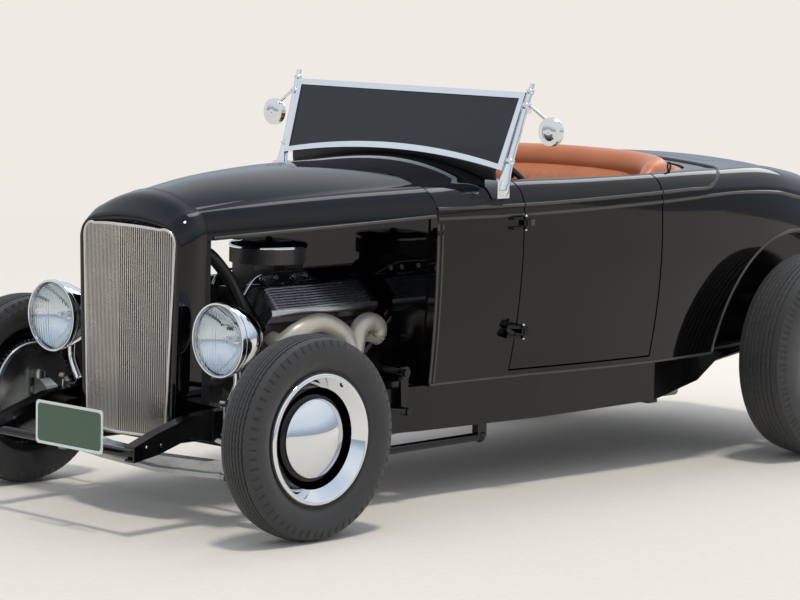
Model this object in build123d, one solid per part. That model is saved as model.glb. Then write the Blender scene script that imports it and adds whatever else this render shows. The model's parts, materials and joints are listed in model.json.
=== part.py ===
"""Open two-seat hot rod roadster without fenders, built node by node in millimetres.

+X is the car's left side, the front faces -Y and +Z is up. The origin lies on the
ground, midway between the foremost and the rearmost point.
"""
from build123d import *
from functools import cache
from math import cos, hypot, pi, radians, sin
import os

# Driving dimensions of the whole car
WHEELBASE = 2692.0
TRACK = 1422.0
FRONT_OVERHANG = 466.0          # front axle to the plate's front face
REAR_OVERHANG = 634.0           # rear axle to the tail's lip
LENGTH = FRONT_OVERHANG + WHEELBASE + REAR_OVERHANG
FRONT_AXLE = FRONT_OVERHANG - LENGTH / 2
REAR_AXLE = FRONT_AXLE + WHEELBASE
WHEEL_X = TRACK / 2

# Clearances
SEAT_GAP = 0.3                  # between pieces that rest on each other with curved faces
PANEL_GAP = 5.0                 # shut line round a door, lid or hood
PIN_CLEARANCE = 0.05            # radial, between a hinge pin or spindle and its hole

# Tyres, bias ply on 16 inch rims
RIM_RADIUS = 203.0
FRONT_TYRE_RADIUS = 329.0
FRONT_TYRE_WIDTH = 146.0
FRONT_TREAD_WIDTH = 122.0
REAR_TYRE_RADIUS = 384.0
REAR_TYRE_WIDTH = 206.0
REAR_TREAD_WIDTH = 178.0
TYRE_WALL = 14.0
TREAD_DROP = 12.0                # tread's edge below its crown
BEAD_GAP = 1.0

# Steel wheels
RIM_THICKNESS = 4.0
FRONT_RIM_WIDTH = 114.0
REAR_RIM_WIDTH = 165.0
FLANGE_HEIGHT = 15.0
DISC_FACE = 12.0                # centre disc outboard of the wheel's middle plane
DISC_THICKNESS = 6.0
RING_OUTER_RADIUS = 212.0
RING_INNER_RADIUS = 163.0
RING_THICKNESS = 1.6
CAP_RADIUS = 127.0
CAP_HEIGHT = 48.0
CAP_THICKNESS = 2.0
CAP_SKIRT = 8.0
RIM_DROP = 20.0
HUB_RADIUS = 44.0
SPINDLE_RADIUS = 16.0
BOLT_CIRCLE = 139.7
STUD_RADIUS = 6.35
STUD_COUNT = 5
FRONT_DRUM_RADIUS = 165.0
FRONT_DRUM_WIDTH = 56.0
REAR_DRUM_RADIUS = 158.0
REAR_DRUM_WIDTH = 56.0
DRUM_WALL = 8.0
DRUM_FINS = 40
FIN_HEIGHT = 12.0
FIN_THICKNESS = 4.5

# Stations near the rear axle are measured from it
REAR_ARM_S = WHEELBASE - 732.0   # front end of the rear axle's radius rods
KICK_S = WHEELBASE - 462.0       # where the rails start to rise over the axle
QUARTER_S = WHEELBASE - 432.0
LID_FRONT = WHEELBASE - 272.0
LID_REAR = WHEELBASE + 488.0
TAIL = WHEELBASE + 612.0
EXHAUST_END = WHEELBASE - 312.0
REAR_BEAM_S = WHEELBASE + 123.0  # crossmember that carries the rear spring
TANK_FRONT = WHEELBASE + 258.0

# Frame rails: distance behind the front axle, outer face, top and bottom
# columns: s, x_outer, z_top, z_bottom
RAIL_STATIONS = [
    (-430, 372, 296, 246),
    (-330, 372, 332, 262),
    (-190, 374, 372, 304),
    (-95, 376, 380, 282),
    (-45, 377, 382, 318),
    (50, 380, 386, 318),
    (170, 390, 390, 266),
    (300, 400, 393, 246),
    (796, 452, 395, 240),
    (1350, 492, 395, 240),
    (1950, 522, 395, 250),
    (KICK_S, 500, 395, 298),
    (WHEELBASE - 212, 468, 522, 420),
    (WHEELBASE, 460, 556, 462),
    (WHEELBASE + 228, 444, 536, 440),
    (WHEELBASE + 468, 424, 462, 398),
]
RAIL_WEB = 8.0
RAIL_FLANGE_WIDTH = 46.0
RAIL_FLANGE = 7.0
RAIL_TOP = 395.0
CROSSMEMBER_WALL = 8.0
HORN_TUBE_RADIUS = 15.0

# Body outline: distance behind the front axle and the half section at that place
# columns: s, bottom x, bottom z, middle x, middle z, belt x, belt z, shoulder x, shoulder z, crown z
BODY_SECTIONS = [
    (796, 476, 395, 499, 690, 504, 985, 400, 1076, 1137),
    (1176, 492, 395, 543, 690, 553, 1000, 462, 1086, 1150),
    (1500, 528, 395, 575, 690, 580, 1006, 500, 1084, 1128),
    (1876, 551, 395, 597, 690, 596, 1014, 520, 1086, 1112),
    (QUARTER_S, 556, 402, 598, 690, 592, 1020, 506, 1088, 1114),
    (WHEELBASE + 8, 540, 420, 578, 690, 560, 990, 440, 1072, 1098),
    (WHEELBASE + 328, 500, 470, 528, 680, 500, 900, 372, 990, 1018),
    (WHEELBASE + 528, 446, 500, 462, 640, 432, 770, 312, 850, 882),
    (TAIL, 396, 520, 402, 600, 366, 672, 262, 716, 738),
]
WALL = 42.0                      # whole door, cowl and quarter panel thickness
COWL_FRONT = 796.0
DOOR_FRONT = 1176.0
DOOR_REAR = 1876.0
DOOR_BOTTOM = 420.0
TAIL_PANEL = 14.0                # closing panel at the tail's end
FLOOR_THICKNESS = 12.0
FLOOR_GAP = 1.5                  # between the floor panels and the curved wall
OPEN_BOTTOM = 60.0               # the inner room is cut this much below the sills
FIREWALL_THICKNESS = 10.0
COCKPIT_FRONT = 1150.0
COCKPIT_REAR = 2200.0
COCKPIT_HALF_FRONT = 470.0
COCKPIT_HALF_REAR = 532.0
COCKPIT_WIDEST = 1760.0
COCKPIT_TAPER = 24.0
COCKPIT_CORNER = 150.0           # plan radius of the opening's rear corners
COCKPIT_CUT_Z = 900.0
ARCH_RADIUS = 455.0
ARCH_INNER_X = 512.0
ARCH_WALL = 10.0
BULKHEAD = 2212.0
BULKHEAD_THICKNESS = 10.0
BULKHEAD_TOP = 1042.0
BULKHEAD_CORNER_X = 486.0
TRUNK_FLOOR_Z = 565.0
TUNNEL_HALF = 130.0              # tunnel over the gearbox
TUNNEL_END = 1400.0
TUNNEL_TOP = 560.0
SHAFT_HALF = 68.0                # lower tunnel over the torque tube
SHAFT_TOP = 480.0

# Deck lid
LID_HALF = 350.0
LID_THICKNESS = 14.0
LID_LEDGE = 20.0                 # width of the drain ledge under the lid's edge

# Hood top
# columns: s, belt x, belt z, shoulder x, shoulder z, crown z
HOOD_SECTIONS = [
    (-24, 250, 930, 200, 1012, 1068),
    (180, 318, 944, 254, 1036, 1102),
    (480, 410, 963, 326, 1060, 1128),
    (796, 504, 985, 400, 1076, 1137),
]
HOOD_SHEET = 6.0
HOOD_LIP = 14.0
HOOD_SEAT = 18.0                 # the cowl's lip reaches this far under the hood

# Grille shell and insert
SHELL_FACE = -134.0              # s of the shell's front face
SHELL_REAR = -24.0
SHELL_HALF_WIDTH = 258.0
SHELL_BOTTOM_HALF = 226.0
SHELL_BOTTOM = 262.0
INSERT_HALF_WIDTH = 230.0
INSERT_BOTTOM_HALF = 196.0
INSERT_BOTTOM = 274.0
INSERT_TOP = 962.0
INSERT_CORNER = 60.0
INSERT_BOW = 46.0                # centre crease ahead of the shell's face
BOW_HALF = 260.0                 # half width over which the insert's plan runs back from its crease
STAY_HEIGHTS = (430, 620, 800)   # cross stays behind the insert's bars
INSERT_FRAME = 9.0
INSERT_DEPTH = 14.0
BAR_PITCH = 8.6
BAR_THICKNESS = 2.6
BAR_DEPTH = 10.0

# Engine, a vee eight
CRANK_Z = 475.0
BLOCK_FRONT = 250.0
BLOCK_LENGTH = 520.0
BANK_ANGLE = 45.0
BANK_WIDTH = 150.0
HEAD_TOP = 262.0                 # crank centre to the head's top face along the bank
HEAD_HEIGHT = 72.0
VALLEY_Z = 655.0
VALLEY_HALF = 50.0
COVER_HEIGHT = 62.0
COVER_LENGTH = 500.0
COVER_WIDTH = 128.0
PORT_Z = 580.0
MANIFOLD_RADIUS = 26.0
OUTLET_S = 600.0                 # where the two manifold halves meet and turn down
EXHAUST_RADIUS = 22.0
EXHAUST_Z = 225.0
GEARBOX_END = 1384.0
MOUNT_S = 351.0                  # engine mounts on the rails

# Axles and springs
KINGPIN_X = WHEEL_X - 93.0
KINGPIN_BOSS = 20.0              # radius of the axle's end round the pin
KNUCKLE_GAP = 6.0                # between that end and the knuckle's yoke
EAR_GAP = 0.5                    # above and below that end
KINGPIN_RADIUS = 11.0
BOSS_LOW = 286.0
BOSS_TOP = 372.0
STEER_ARM = 140.0
REAR_TUBE_RADIUS = 38.0
DIFF_RADIUS = 120.0
REAR_BEAM_Z = 495.0
# columns: s, depth along the car, z bottom, z top, half width
WELDED_CROSSMEMBERS = [
    (14, 72, 330, 381, 374),
    (REAR_BEAM_S, 70, REAR_BEAM_Z, 545, 446),
    (WHEELBASE + 238, 40, 446, 500, 438),
]
GEARBOX_CROSSMEMBER = (1240, 70, 262, 322, 476)

# Steering gear
COLUMN_X = 280.0
STEERING_WHEEL_RADIUS = 190.0
STEERING_WHEEL_RIM = 11.0
STEERING_WHEEL_S = 1310.0
STEERING_WHEEL_Z = 1032.0
HUB_BACK = 33.0
HUB_FRONT = 13.0
COLUMN_TILT = 40.0               # column's slope above the horizontal
COLUMN_RADIUS = 20.0
SECTOR_S = 690.0
SECTOR_Z = 450.0
PITMAN_LENGTH = 130.0
DRAG_ARM = 190.0                 # left kingpin to the drag link's ball
DRAG_ARM_Z = 398.0
LINK_RADIUS = 9.0
TIE_ROD_Z = 225.0
TIE_ROD_RADIUS = 10.0

# Windshield
SCREEN_BOTTOM_S = 1078.0
SCREEN_BOTTOM_Z = 1122.0
SCREEN_TOP_S = 1171.0
SCREEN_TOP_Z = 1388.0
SCREEN_HALF_BOTTOM = 538.0
SCREEN_HALF_TOP = 558.0
SCREEN_FRAME = 22.0
SCREEN_FRAME_DEPTH = 16.0
SCREEN_SAG = 46.0                # the lower rail's middle stands this much above its ends
GLASS_THICKNESS = 6.0
# columns: x, s, z
POST_FOOT = (546.0, 1062.0, 1040.0)
POST_TOP = (574.0, 1182.0, 1420.0)
POST_RADIUS = 9.0

# Lamps
LAMP_X = 415.0
LAMP_S = -113.0
LAMP_Z = 616.0
LAMP_RADIUS = 122.0
LAMP_DEPTH = 165.0
LAMP_STEM = 80.0                 # the stem stands this much behind the lamp's face
LENS_RISE = 14.0
LENS_EDGE = 5.0

# Further front-end sizes
AXLE_HALF_DEPTH = 26.0
KINGPIN_LENGTH = 146.0
PERCH_X = 455.0
SPRING_LEAVES = 5
SPRING_HALF = 412.0
SPRING_CAMBER = 46.0
SPRING_TOP = 329.7
LEAF_THICKNESS = 8.0
LEAF_WIDTH = 44.0
SHACKLE_Z = 266.0
WISHBONE_REAR_X = 425.0
WISHBONE_REAR_S = 1116.0
WISHBONE_REAR_Z = 187.0
PLATE_X = WHEEL_X + DISC_FACE - 16 - FRONT_DRUM_WIDTH - 4
SECTOR_RADIUS = 14.0
PITMAN_X = 457.0
PITMAN_THICKNESS = 11.0
SHOCK_S = -74.0
SHOCK_X = 402.0
SHOCK_ARM = 44.0                 # lever's reach along the car
SHOCK_RADIUS = 34.0
PLATE_CENTRE = 95.0
HORN_BOLT_S = -376.0
HORN_BOLT_SPACING = 60.0
HORN_BOLT_Z = 292.0
HORN_BOLT_RADIUS = 6.0

# Door hinges
HINGE_X = 570.0
HINGE_S = 1170.0
HINGE_LOW_Z = 565.0
HINGE_LOW_PANEL = 530.0
HINGE_HIGH_Z = 942.0
HINGE_HIGH_PANEL = 549.0
HINGE_HEIGHT = 22.0
HINGE_BARREL = 8.0
HINGE_PIN = 4.0
HINGE_PLAY = 0.5

# More engine sizes
COVER_FINS = 9
COVER_FIN_PITCH = 11.0
MANIFOLD_X = 338.0
MANIFOLD_PORT_X = 204.0          # the ports start inside the head and are cut flush with it
CARB_S = 490.0
CLEANER_RADIUS = 132.0

# Seat
SEAT_FRONT = 1440.0
SEAT_TOP = 640.0


def at(s):
    """Give the Y of a place s millimetres behind the front axle."""
    return FRONT_AXLE + s


def block(x0, x1, s0, s1, z0, z1):
    """Box between two corners, its Y given behind the front axle."""
    size = (abs(x1 - x0), abs(s1 - s0), abs(z1 - z0))
    return Pos((x0 + x1) / 2, at((s0 + s1) / 2), (z0 + z1) / 2) * Box(*size)


def rod(start, end, radius, inner=0.0):
    """Round bar or tube between two points given as (x, s, z)."""
    a = Vector(start[0], at(start[1]), start[2])
    b = Vector(end[0], at(end[1]), end[2])
    plane = Plane(origin=a, z_dir=b - a)
    face = plane * Circle(radius)
    if inner > 0:
        face = face - plane * Circle(inner)
    return extrude(face, amount=(b - a).length, dir=(b - a).normalized())


def pipe(points, radius, bends):
    """Bent round bar through points given as (x, s, z), with one bend radius each."""
    route = [Vector(p[0], at(p[1]), p[2]) for p in points]
    if len(route) == 2:
        return rod(points[0], points[1], radius)
    path = FilletPolyline(*route, radius=bends)
    start = Plane(origin=route[0], z_dir=route[1] - route[0])
    return sweep(start * Circle(radius), path=path)


def side_prism(points, x0, x1):
    """Prism with a side outline of (s, z) points between two X planes."""
    outline = Plane.YZ.offset(x0) * Polygon(*[(at(s), z) for s, z in points], align=None)
    return extrude(outline, amount=x1 - x0, dir=(1, 0, 0))


def plan_prism(points, z0, z1):
    """Prism with a plan outline of (x, s) points between two heights."""
    outline = Plane.XY.offset(z0) * Polygon(*[(x, at(s)) for x, s in points], align=None)
    return extrude(outline, amount=z1 - z0, dir=(0, 0, 1))


def front_prism(points, s0, s1):
    """Prism with a front outline of (x, z) points between two stations."""
    plane = Plane(origin=(0, at(s0), 0), x_dir=(1, 0, 0), z_dir=(0, -1, 0))
    outline = plane * Polygon(*points, align=None)
    return extrude(outline, amount=s1 - s0, dir=(0, 1, 0))


def upright(face):
    """Give the face with its normal along +Z, so that what is turned from it is solid."""
    return face if face.normal_at().Z > 0 else -face


def ring_x(profile):
    """Turn a profile of (x, radius) points about the X axis."""
    return revolve(upright(Polygon(*profile, align=None).face()), axis=Axis.X)


def dome_radius(rim, rise):
    """Radius of the sphere that rises so much over a round rim."""
    return (rim ** 2 + rise ** 2) / (2 * rise)


def on_circle(centre, radius, y):
    """Point at height y on a circle whose centre lies on the first axis."""
    return (centre + (radius ** 2 - y ** 2) ** 0.5, y)


def both_sides(shape):
    """Give the shape and its mirror image in the car's middle plane."""
    return shape + mirror(shape, about=Plane.YZ)


def save(name, shape):
    """Write one node as a STEP file."""
    export_step(Compound(children=list(shape.solids())), f"parts/{name}.step")


def body_face(row, inset=0.0, open_bottom=0.0):
    """Closed cross section of the body at one station, drawn in by inset."""
    s, xb, zb, xm, zm, xs, zs, xt, zt, zc = row
    low = zb - open_bottom if open_bottom else zb + inset
    plane = Plane(origin=(0, at(s), 0), x_dir=(1, 0, 0), z_dir=(0, -1, 0))
    bottom = (xb - inset, low)
    middle = (xm - inset, zm)
    belt = (xs - inset, zs - inset * 0.25)
    shoulder = (xt - inset * 0.6, zt - inset * 0.8)
    turn = (belt[0] * 0.70 + shoulder[0] * 0.30 - 2.0, belt[1] * 0.34 + shoulder[1] * 0.66 + 2.0)
    crown = (0, zc - inset)
    flip = lambda p: (-p[0], p[1])
    with BuildLine(plane) as outline:
        ThreePointArc(bottom, middle, belt)
        ThreePointArc(belt, turn, shoulder)
        ThreePointArc(shoulder, crown, flip(shoulder))
        ThreePointArc(flip(shoulder), flip(turn), flip(belt))
        ThreePointArc(flip(belt), flip(middle), flip(bottom))
        Line(flip(bottom), bottom)
    return make_face(outline.edges())


@cache
def body_loft(inset=0.0, open_bottom=0.0):
    """Closed body of the tub's outline, drawn in by inset; deep inner faces run straight between stations."""
    faces = [body_face(row, inset, open_bottom) for row in BODY_SECTIONS]
    return loft(faces, ruled=inset > LID_THICKNESS + 1)


def cockpit_outline(grow, top=1300.0):
    """Tall prism of the cockpit opening's plan with round rear corners, grown all round."""
    front, rear = COCKPIT_HALF_FRONT + grow, COCKPIT_HALF_REAR + grow
    points = [(-front, COCKPIT_FRONT - grow), (front, COCKPIT_FRONT - grow), (rear, COCKPIT_WIDEST),
              (rear - COCKPIT_TAPER, COCKPIT_REAR + grow), (-rear + COCKPIT_TAPER, COCKPIT_REAR + grow),
              (-rear, COCKPIT_WIDEST)]
    plane = Plane.XY.offset(COCKPIT_CUT_Z)
    face = (plane * Polygon(*[(x, at(s)) for x, s in points], align=None)).face()
    corners = face.vertices().sort_by(Axis.Y)[-2:]
    return extrude(face.fillet_2d(COCKPIT_CORNER + grow, corners), amount=top - COCKPIT_CUT_Z, dir=(0, 0, 1))


def tyre(radius, width, tread, rim_width, x, s):
    """Hollow tyre with a crowned tread, rounded shoulders and open beads."""
    half, flat = width / 2, tread / 2
    bead = RIM_RADIUS + BEAD_GAP
    side = rim_width / 2 - RIM_THICKNESS - SEAT_GAP
    knee = bead + FLANGE_HEIGHT + 1
    middle = bead + (radius - bead) * 0.46
    crown = radius - TREAD_DROP
    with BuildLine(Plane.XY) as outer:
        Line((-side, bead), (side, bead))
        Line((side, bead), (side, knee))
        ThreePointArc((side, knee), (half, middle), (flat, crown))
        ThreePointArc((flat, crown), (0, radius), (-flat, crown))
        ThreePointArc((-flat, crown), (-half, middle), (-side, knee))
        Line((-side, knee), (-side, bead))
    body = revolve(upright(make_face(outer.edges()).face()), axis=Axis.X)
    lip, inside = side - TYRE_WALL, crown - TYRE_WALL
    with BuildLine(Plane.XY) as inner:
        Line((-lip, bead - 5), (lip, bead - 5))
        Line((lip, bead - 5), (lip, knee))
        ThreePointArc((lip, knee), (half - TYRE_WALL, middle), (flat - TYRE_WALL, inside))
        Line((flat - TYRE_WALL, inside), (TYRE_WALL - flat, inside))
        ThreePointArc((TYRE_WALL - flat, inside), (TYRE_WALL - half, middle), (-lip, knee))
        Line((-lip, knee), (-lip, bead - 5))
    hollow = revolve(upright(make_face(inner.edges()).face()), axis=Axis.X)
    return Pos(x, at(s), radius) * (body - hollow)


def wheel(side, rim_width, drum_radius, drum_width, fins, s, z):
    """Steel rim and disc with its brake drum and hub, bored for the spindle."""
    half = rim_width / 2
    bed = RIM_RADIUS - 1
    drop = RIM_DROP
    t = RIM_THICKNESS
    rim = ring_x([
        (-half + t, bed + FLANGE_HEIGHT), (-half + t, bed), (-half + 22, bed), (-half + 32, bed - drop),
        (half - 42, bed - drop), (half - 30, bed), (half - t, bed), (half - t, bed + FLANGE_HEIGHT),
        (half, bed + FLANGE_HEIGHT), (half, bed - t), (half - 28, bed - t),
        (half - 40, bed - drop - t), (-half + 30, bed - drop - t), (-half + 20, bed - t),
        (-half, bed - t), (-half, bed + FLANGE_HEIGHT),
    ])
    rim_seat = bed - drop - t + 1
    disc = ring_x([
        (DISC_FACE - 20 - DISC_THICKNESS, rim_seat),
        (DISC_FACE - 8, rim_seat - 30), (DISC_FACE + 8, CAP_RADIUS + 6),
        (DISC_FACE + 8, CAP_RADIUS - 14), (DISC_FACE - 16, CAP_RADIUS - 34),
        (DISC_FACE - 16, SPINDLE_RADIUS + 8),
        (DISC_FACE - 10, SPINDLE_RADIUS + 8), (DISC_FACE - 10, CAP_RADIUS - 32),
        (DISC_FACE + 14, CAP_RADIUS - 12), (DISC_FACE + 14, CAP_RADIUS + 8), (DISC_FACE - 2, rim_seat - 28),
        (DISC_FACE - 20, rim_seat),
    ])
    drum_face = DISC_FACE - 16
    bore = SPINDLE_RADIUS + PIN_CLEARANCE
    drum = ring_x([
        (drum_face, bore), (drum_face, drum_radius), (drum_face - drum_width, drum_radius),
        (drum_face - drum_width, drum_radius - DRUM_WALL), (drum_face - DRUM_WALL, drum_radius - DRUM_WALL),
        (drum_face - DRUM_WALL, HUB_RADIUS), (drum_face - drum_width + 18, HUB_RADIUS),
        (drum_face - drum_width + 18, bore),
    ])
    body = rim + disc + drum
    if fins:
        fin = Pos(drum_face - drum_width / 2, 0, drum_radius + FIN_HEIGHT / 2 - 1)
        fin = fin * Box(drum_width, FIN_THICKNESS, FIN_HEIGHT)
        for turn in range(DRUM_FINS):
            body = body + Rot(360 * turn / DRUM_FINS, 0, 0) * fin
    for turn in range(STUD_COUNT):
        angle = 2 * pi * turn / STUD_COUNT
        stud = Pos(DISC_FACE - 4, BOLT_CIRCLE / 2 * sin(angle), BOLT_CIRCLE / 2 * cos(angle))
        body = body + stud * Rot(0, 90, 0) * Cylinder(STUD_RADIUS, 16)
    if side < 0:
        body = mirror(body, about=Plane.YZ)
    return Pos(side * WHEEL_X, at(s), z) * body


def wheel_trim(side, rim_width, s, z):
    """Polished trim ring over the rim and the domed cap over the hub."""
    half = rim_width / 2
    face = half + SEAT_GAP + 0.8
    ring = ring_x([
        (face, RING_OUTER_RADIUS), (face + 7, RING_OUTER_RADIUS - 12), (face - 8, RING_OUTER_RADIUS - 30),
        (face - 26, RING_INNER_RADIUS), (face - 26 - RING_THICKNESS, RING_INNER_RADIUS),
        (face - 8 - RING_THICKNESS, RING_OUTER_RADIUS - 31), (face + 5, RING_OUTER_RADIUS - 13),
        (face - 0.8, RING_OUTER_RADIUS - 2),
    ])
    base = DISC_FACE + 14 + SEAT_GAP
    skirt = base + CAP_SKIRT
    rise = CAP_HEIGHT - CAP_SKIRT
    ball = dome_radius(CAP_RADIUS, rise)
    centre = base + CAP_HEIGHT - ball
    inner_rim = (((ball - CAP_THICKNESS) ** 2) - (ball - rise) ** 2) ** 0.5
    with BuildLine(Plane.XY) as dome:
        Line((base, CAP_RADIUS), (skirt, CAP_RADIUS))
        ThreePointArc((skirt, CAP_RADIUS), on_circle(centre, ball, CAP_RADIUS / 2), (centre + ball, 0))
        Line((centre + ball, 0), (centre + ball - CAP_THICKNESS, 0))
        ThreePointArc((centre + ball - CAP_THICKNESS, 0),
                      on_circle(centre, ball - CAP_THICKNESS, CAP_RADIUS / 2), (skirt, inner_rim))
        Line((skirt, inner_rim), (base, inner_rim))
        Line((base, inner_rim), (base, CAP_RADIUS))
    cap = revolve(upright(make_face(dome.edges()).face()), axis=Axis.X)
    body = ring + cap
    if side < 0:
        body = mirror(body, about=Plane.YZ)
    return Pos(side * WHEEL_X, at(s), z) * body


def crossmember(s, depth, low, high, half):
    """Channel across the frame, open below."""
    beam = block(-half, half, s - depth / 2, s + depth / 2, low, high)
    inside = depth / 2 - CROSSMEMBER_WALL
    return beam - block(-half - 1, half + 1, s - inside, s + inside, low - 1, high - CROSSMEMBER_WALL)


def rails():
    """Two channel rails with horns, their welded crossmembers and the front spreader bar."""
    top = [(s, zt) for s, _, zt, _ in RAIL_STATIONS]
    low = [(s, zb) for s, _, _, zb in RAIL_STATIONS]
    side = side_prism(top + low[::-1], 0, 700)
    outer = [(x, s) for s, x, _, _ in RAIL_STATIONS]
    strip = plan_prism(outer + [(x - RAIL_FLANGE_WIDTH, s) for x, s in outer[::-1]], 200, 620)
    pocket_side = side_prism([(s, z - RAIL_FLANGE) for s, z in top]
                             + [(s, z + RAIL_FLANGE) for s, z in low[::-1]], 0, 700)
    pocket_plan = plan_prism([(x - RAIL_WEB, s) for x, s in outer]
                             + [(x - RAIL_FLANGE_WIDTH - 20, s) for x, s in outer[::-1]], 200, 620)
    rail = (side & strip) - (pocket_side & pocket_plan)
    frame = both_sides(rail)
    for row in WELDED_CROSSMEMBERS:
        frame = frame + crossmember(*row)
    spreader = rod((-366, -408, 268), (366, -408, 268), HORN_TUBE_RADIUS)
    frame = frame + spreader
    for s in (HORN_BOLT_S, HORN_BOLT_S + HORN_BOLT_SPACING):
        frame = frame - rod((-500, s, HORN_BOLT_Z), (500, s, HORN_BOLT_Z), HORN_BOLT_RADIUS)
    return frame


def gearbox_crossmember():
    """Channel under the gearbox, fitted between the rails' webs."""
    return crossmember(*GEARBOX_CROSSMEMBER) - rails()


def body_tub():
    """Hollow cowl, quarters and tail, with the cockpit, door, lid and arches cut."""
    shell = body_loft() - body_loft(WALL, open_bottom=OPEN_BOTTOM)
    shell = shell + (body_loft() & block(-700, 700, TAIL - TAIL_PANEL, TAIL, 300, 1000))
    shell = shell - cockpit_outline(0.0)
    doorway = block(420, 700, DOOR_FRONT, DOOR_REAR, DOOR_BOTTOM, 1300)
    shell = shell - both_sides(doorway)
    house = Pos(0, at(WHEELBASE), REAR_TYRE_RADIUS) * Rot(0, 90, 0) * Cylinder(ARCH_RADIUS + ARCH_WALL, 1400)
    house = house & body_loft()
    house = house - block(-ARCH_INNER_X + ARCH_WALL, ARCH_INNER_X - ARCH_WALL, 0, 4000, 0, 1400)
    centre = Pos(ARCH_INNER_X + 200, at(WHEELBASE), REAR_TYRE_RADIUS)
    well = centre * Rot(0, 90, 0) * Cylinder(ARCH_RADIUS, 400)
    shell = (shell + house) - both_sides(well)
    shell = shell - block(-700, 700, WHEELBASE - 62, WHEELBASE + 170, 300, 540)
    shell = shell - block(-700, 700, COWL_FRONT - 1, QUARTER_S, 300, RAIL_TOP)
    shell = shell - (lid_cutter(PANEL_GAP) - body_loft(LID_THICKNESS + SEAT_GAP))
    shell = shell - lid_cutter(-LID_LEDGE)
    lip = hood_loft(HOOD_SHEET + SEAT_GAP) - hood_loft(2 * HOOD_SHEET, 40.0)
    return shell + (lip & block(-700, 700, COWL_FRONT - HOOD_SEAT, COWL_FRONT, 900, 1300))


def lid_cutter(gap):
    """Tall prism of the deck lid's plan, grown by gap all round."""
    return plan_prism([
        (-LID_HALF - gap, LID_FRONT - gap), (LID_HALF + gap, LID_FRONT - gap),
        (LID_HALF + gap, LID_REAR + gap), (-LID_HALF - gap, LID_REAR + gap),
    ], 800, 1300)


def door(side):
    """Door as thick as the body wall, with its strap hinges at the front edge."""
    slab = block(380, 700, DOOR_FRONT + PANEL_GAP, DOOR_REAR - PANEL_GAP, DOOR_BOTTOM + PANEL_GAP, 1300)
    panel = (body_loft() - body_loft(WALL, open_bottom=OPEN_BOTTOM)) & slab
    panel = (panel - cockpit_outline(0.0)) + door_hinges()
    return panel if side > 0 else mirror(panel, about=Plane.YZ)


def deck_lid():
    """Lid over the rear compartment, a shell of the body's own outline."""
    skin = body_loft() - body_loft(LID_THICKNESS)
    return skin & lid_cutter(0)


def floor():
    """Flat floor on the rails with the tunnel over the gearbox."""
    front, rear = COWL_FRONT + FIREWALL_THICKNESS, TAIL - TAIL_PANEL - SEAT_GAP
    inner_arch = ARCH_INNER_X - ARCH_WALL - SEAT_GAP
    t = FLOOR_THICKNESS
    plate_edge = [(inner_half(s, RAIL_TOP) - FLOOR_GAP, s) for s in stations(front, BULKHEAD)]
    trunk_edge = [(min(inner_half(s, TRUNK_FLOOR_Z) - FLOOR_GAP, inner_arch), s)
                  for s in stations(BULKHEAD, rear)]
    wall_edge = [(inner_half(BULKHEAD, z) - FLOOR_GAP, z) for z in (RAIL_TOP + t, 560, 700, 850, 1000)]
    wall_edge = [(wall_edge[0][0], RAIL_TOP)] + wall_edge + [(BULKHEAD_CORNER_X, BULKHEAD_TOP)]
    pan = plan_prism(plate_edge + [(-x, s) for x, s in plate_edge[::-1]], RAIL_TOP, RAIL_TOP + t)
    pan = pan + plan_prism(trunk_edge + [(-x, s) for x, s in trunk_edge[::-1]], TRUNK_FLOOR_Z,
                           TRUNK_FLOOR_Z + BULKHEAD_THICKNESS)
    pan = pan + front_prism(wall_edge + [(-x, z) for x, z in wall_edge[::-1]], BULKHEAD,
                            BULKHEAD + BULKHEAD_THICKNESS)
    tall = block(-TUNNEL_HALF, TUNNEL_HALF, front, TUNNEL_END, RAIL_TOP, TUNNEL_TOP)
    tall_inside = block(-TUNNEL_HALF + t, TUNNEL_HALF - t, front - 1, TUNNEL_END - t, 300, TUNNEL_TOP - t)
    low = block(-SHAFT_HALF, SHAFT_HALF, TUNNEL_END - t, BULKHEAD, RAIL_TOP, SHAFT_TOP)
    low_inside = block(-SHAFT_HALF + t, SHAFT_HALF - t, front - 1, BULKHEAD + 50, 300, SHAFT_TOP - t)
    return ((pan + tall + low) - tall_inside) - low_inside


def stations(front, rear):
    """Places between two stations where the body's sides change direction, with both ends."""
    return [front] + [row[0] for row in BODY_SECTIONS if front < row[0] < rear] + [rear]


def circle_x(a, b, c, z):
    """X at height z on the circle through three (x, z) points, on the middle point's side."""
    squares = [x * x + y * y for x, y in (a, b, c)]
    twice = 2 * (a[0] * (b[1] - c[1]) + b[0] * (c[1] - a[1]) + c[0] * (a[1] - b[1]))
    centre_x = (squares[0] * (b[1] - c[1]) + squares[1] * (c[1] - a[1]) + squares[2] * (a[1] - b[1])) / twice
    centre_z = (squares[0] * (c[0] - b[0]) + squares[1] * (a[0] - c[0]) + squares[2] * (b[0] - a[0])) / twice
    reach = (hypot(a[0] - centre_x, a[1] - centre_z) ** 2 - (z - centre_z) ** 2) ** 0.5
    return centre_x + reach if b[0] > centre_x else centre_x - reach


def inner_half(s, z):
    """Half width of the room inside the body's walls at a station and a height."""
    for low, high in zip(BODY_SECTIONS, BODY_SECTIONS[1:]):
        if low[0] <= s <= high[0]:
            halves = [circle_x((row[1] - WALL, row[2] - OPEN_BOTTOM), (row[3] - WALL, row[4]),
                               (row[5] - WALL, row[6] - WALL * 0.25), z) for row in (low, high)]
            return halves[0] + (halves[1] - halves[0]) * (s - low[0]) / (high[0] - low[0])
    return 0.0


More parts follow.
